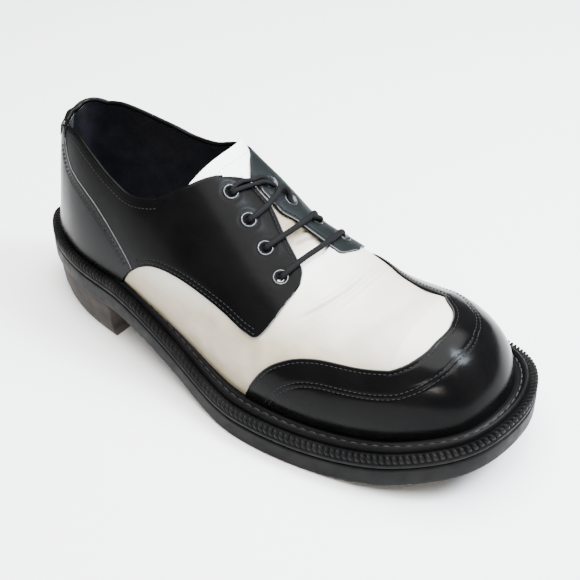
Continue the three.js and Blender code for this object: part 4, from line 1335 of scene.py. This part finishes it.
def laces():
    """Laces: flattened round braids through the eyelets, their ends down the barrels.

    The braid's relief is 6% of the radius times the product of two crossing waves round the strand."""
    for row, strands in enumerate(LACE_ROWS):
        parts = []
        radius = LACE_WIDTH / 2 * (TOP_ROW_SLIM if row == 0 else 1.0)

        def braid(run, angle):
            wave = run * 2 * np.pi / 3.4
            return 1 + 0.06 * np.cos(4 * angle + wave) * np.cos(4 * angle - wave)

        for strand in strands:
            path = curve(strand, 150)
            turn, rise = over(path[:, 0], path[:, 1])
            normals = form_normal(turn, rise)
            points = form(turn, rise) + normals * path[:, 2:]
            parts.append(capped(tube(points, radius, 24, normals=normals, flat=0.82, shape=braid)))
        points = np.concatenate(parts)
        size = parts[0].shape[0] * parts[0].shape[1]
        faces = [grid_faces(*parts[0].shape[:2], loop=True, start=n * size) for n in range(len(parts))]
        make(f"lace_row_{row + 1}", points, np.concatenate(faces), LACE, [f"lace_bar_{row + 1}"])


def tongue_lift(station):
    """Lift of the tongue's face: close under the facings, then sinking under the vamp."""
    return -1.0 - 2.0 * smooth(1.62, 1.7, station)


def tongue():
    """Tongue: a leather across the ridge under the facings, its end edge rounded and lifted inside.

    Its end's lift is 3 * (1-s)^2 of the share s over the first 12 mm, on the inner side only."""
    first, last = TONGUE_EDGE["station"][0], TONGUE_FRONT
    reach = np.r_[first + 0.01 * FRINGE, np.linspace(first + 0.014, last, 120)]
    across = np.linspace(-1, 1, 81)
    low = follow(TONGUE_EDGE, "station", "rise", reach)
    bow = TONGUE_BOW * (1 - across**2)
    stations = reach[:, None] + bow[None, :] * smooth(1.6, first, reach)[:, None]
    turn, rise = over(stations, (1 - low)[:, None] * across[None, :])
    run = (reach - first) * (TOE_POLE - HEEL_POLE)
    raised = TONGUE_TURN_UP * (1 - np.clip(run / TONGUE_TURN_RUN, 0, 1))[:, None] ** 2
    raised = raised * smooth(-0.2, 0.6, across)[None, :]
    thick = TONGUE_THICK * rounded(run + 0.05, 1.0)[:, None] * np.ones_like(rise)
    points = form(turn, rise)
    normals = form_normal(turn, rise)
    under_wall = 2.3 * smooth(0.03, -0.01, rise - throat(turn)) * (stations < THROAT_FRONT)
    lift = tongue_lift(stations) + raised + crease_relief(TONGUE_CREASES, points) - under_wall
    middle = lift - 1.0
    top = points + normals * (middle + thick / 2)[..., None]
    under = points + normals * (middle - thick / 2)[..., None]
    shell = np.concatenate([top, under[:, ::-1]], axis=1)
    faces = grid_faces(len(reach), shell.shape[1], loop=True)
    make("tongue_leather", shell, faces, TONGUE, ["tongue"])
    seam_across = np.linspace(-0.8, 0.8, 120)
    station = first + TONGUE_SEAM_IN / (TOE_POLE - HEEL_POLE) + TONGUE_BOW * (1 - seam_across**2)
    edge_low = follow(TONGUE_EDGE, "station", "rise", station)
    turn, rise = over(station, (1 - edge_low) * seam_across)
    turned_up = TONGUE_TURN_UP * (1 - TONGUE_SEAM_IN / TONGUE_TURN_RUN) ** 2
    high = tongue_lift(station) + turned_up * smooth(-0.2, 0.6, seam_across)
    line = surface_row(turn, rise, high - 0.1)
    stitches("tongue_stitches", [line], *TONGUE_SEAM, WHITE_THREAD, "white_leather")


def collar_lift(turn):
    """Lift of the leather's face along the topline: the counter's behind, then the quarter's."""
    return OVERLAY + (COUNTER - OVERLAY) * smooth(1.0, 0.98, station_of(turn)) - 0.1


def collar():
    """Collar: a thin rolled binding over the edges of the quarters, counter and lining, and its seam."""
    turns = np.linspace(-1.45, 1.47, 420)
    points, normals = surface_row(turns, topline(turns), np.full(len(turns), -0.3))
    skin = capped(tube(points, 1.3, 12, normals=normals))
    faces = grid_faces(skin.shape[0], skin.shape[1], loop=True)
    make("collar_binding", skin, faces, BLACK)
    path = np.linspace(-1.36, 1.36, 420)
    stitched("collar_stitches", [moved(path, topline(path), -COLLAR_SEAM)], collar_lift)


outsole()
midsole()
heel_block()
welt()
welt_stitches()
upper()
lining()
insole()
toe_cap()
heel_counter()
back_tab()
quarter("outer")
quarter("inner")
eyelets("outer")
eyelets("inner")
laces()
tongue()
collar()


def add_floor():
    """Plain pale floor, wide enough for every view."""
    size = 6.0
    mesh = bpy.data.meshes.new("floor")
    corners = [(-size, -size, 0), (size, -size, 0), (size, size, 0), (-size, size, 0)]
    mesh.from_pydata(corners, [], [(0, 1, 2, 3)])
    floor = bpy.data.objects.new("floor", mesh)
    mesh.materials.append(floor_paint())
    bpy.context.collection.objects.link(floor)


def add_light(name, direction, distance, size, power, colour):
    """Soft light that shines on the shoe from a direction and a distance in metres."""
    data = bpy.data.lights.new(name, "AREA")
    data.shape = "RECTANGLE"
    data.size, data.size_y = size
    data.energy = power
    data.color = colour
    lamp = bpy.data.objects.new(name, data)
    toward = Vector(direction).normalized()
    lamp.location = Vector(SHOE_CENTRE) + toward * distance
    lamp.rotation_euler = (-toward).to_track_quat("-Z", "Y").to_euler()
    bpy.context.collection.objects.link(lamp)


def add_camera():
    """Camera at the photograph's angle to the shoe, turned to frame it."""
    data = bpy.data.cameras.new("camera")
    data.sensor_width = SENSOR
    data.lens = SENSOR * FOCAL_SHARE
    data.clip_start, data.clip_end = 0.01, 50
    camera = bpy.data.objects.new("camera", data)
    forward, up = Vector(CAMERA_FORWARD).normalized(), Vector(CAMERA_UP).normalized()
    right = forward.cross(up).normalized()
    up = right.cross(forward)
    turned = Matrix((right, up, -forward)).transposed().to_4x4()
    turned.translation = Vector(to_frame(CAMERA_PLACE))
    camera.matrix_world = turned
    bpy.context.collection.objects.link(camera)
    bpy.context.scene.camera = camera


def add_world():
    """Studio round the shoe: pale near the horizon, dim above."""
    world = bpy.data.worlds.new("studio")
    world.use_nodes = True
    tree = world.node_tree
    place = tree.nodes.new("ShaderNodeTexCoord")
    parts = tree.nodes.new("ShaderNodeSeparateXYZ")
    ramp = tree.nodes.new("ShaderNodeValToRGB")
    stops = ramp.color_ramp.elements
    stops[0].position, stops[0].color = 0.0, (0.22, 0.22, 0.225, 1)
    stops[1].position, stops[1].color = 0.35, (0.1, 0.1, 0.105, 1)
    tree.links.new(place.outputs["Generated"], parts.inputs[0])
    tree.links.new(parts.outputs["Z"], ramp.inputs["Fac"])
    tree.links.new(ramp.outputs["Color"], tree.nodes["Background"].inputs["Color"])
    bpy.context.scene.world = world


add_floor()
add_camera()
add_world()
add_light("softbox", (0.12, 0.05, 0.99), 1.3, (1.7, 1.5), 128, (1.0, 1.0, 0.99))
add_light("window", (0.568, 0.232, 0.79), 1.4, (0.3, 0.5), 46, (0.78, 0.9, 1.0))
add_light("lamp", (0.607, -0.686, 0.401), 1.2, (0.1, 0.1), 4.5, (1.0, 0.92, 0.8))
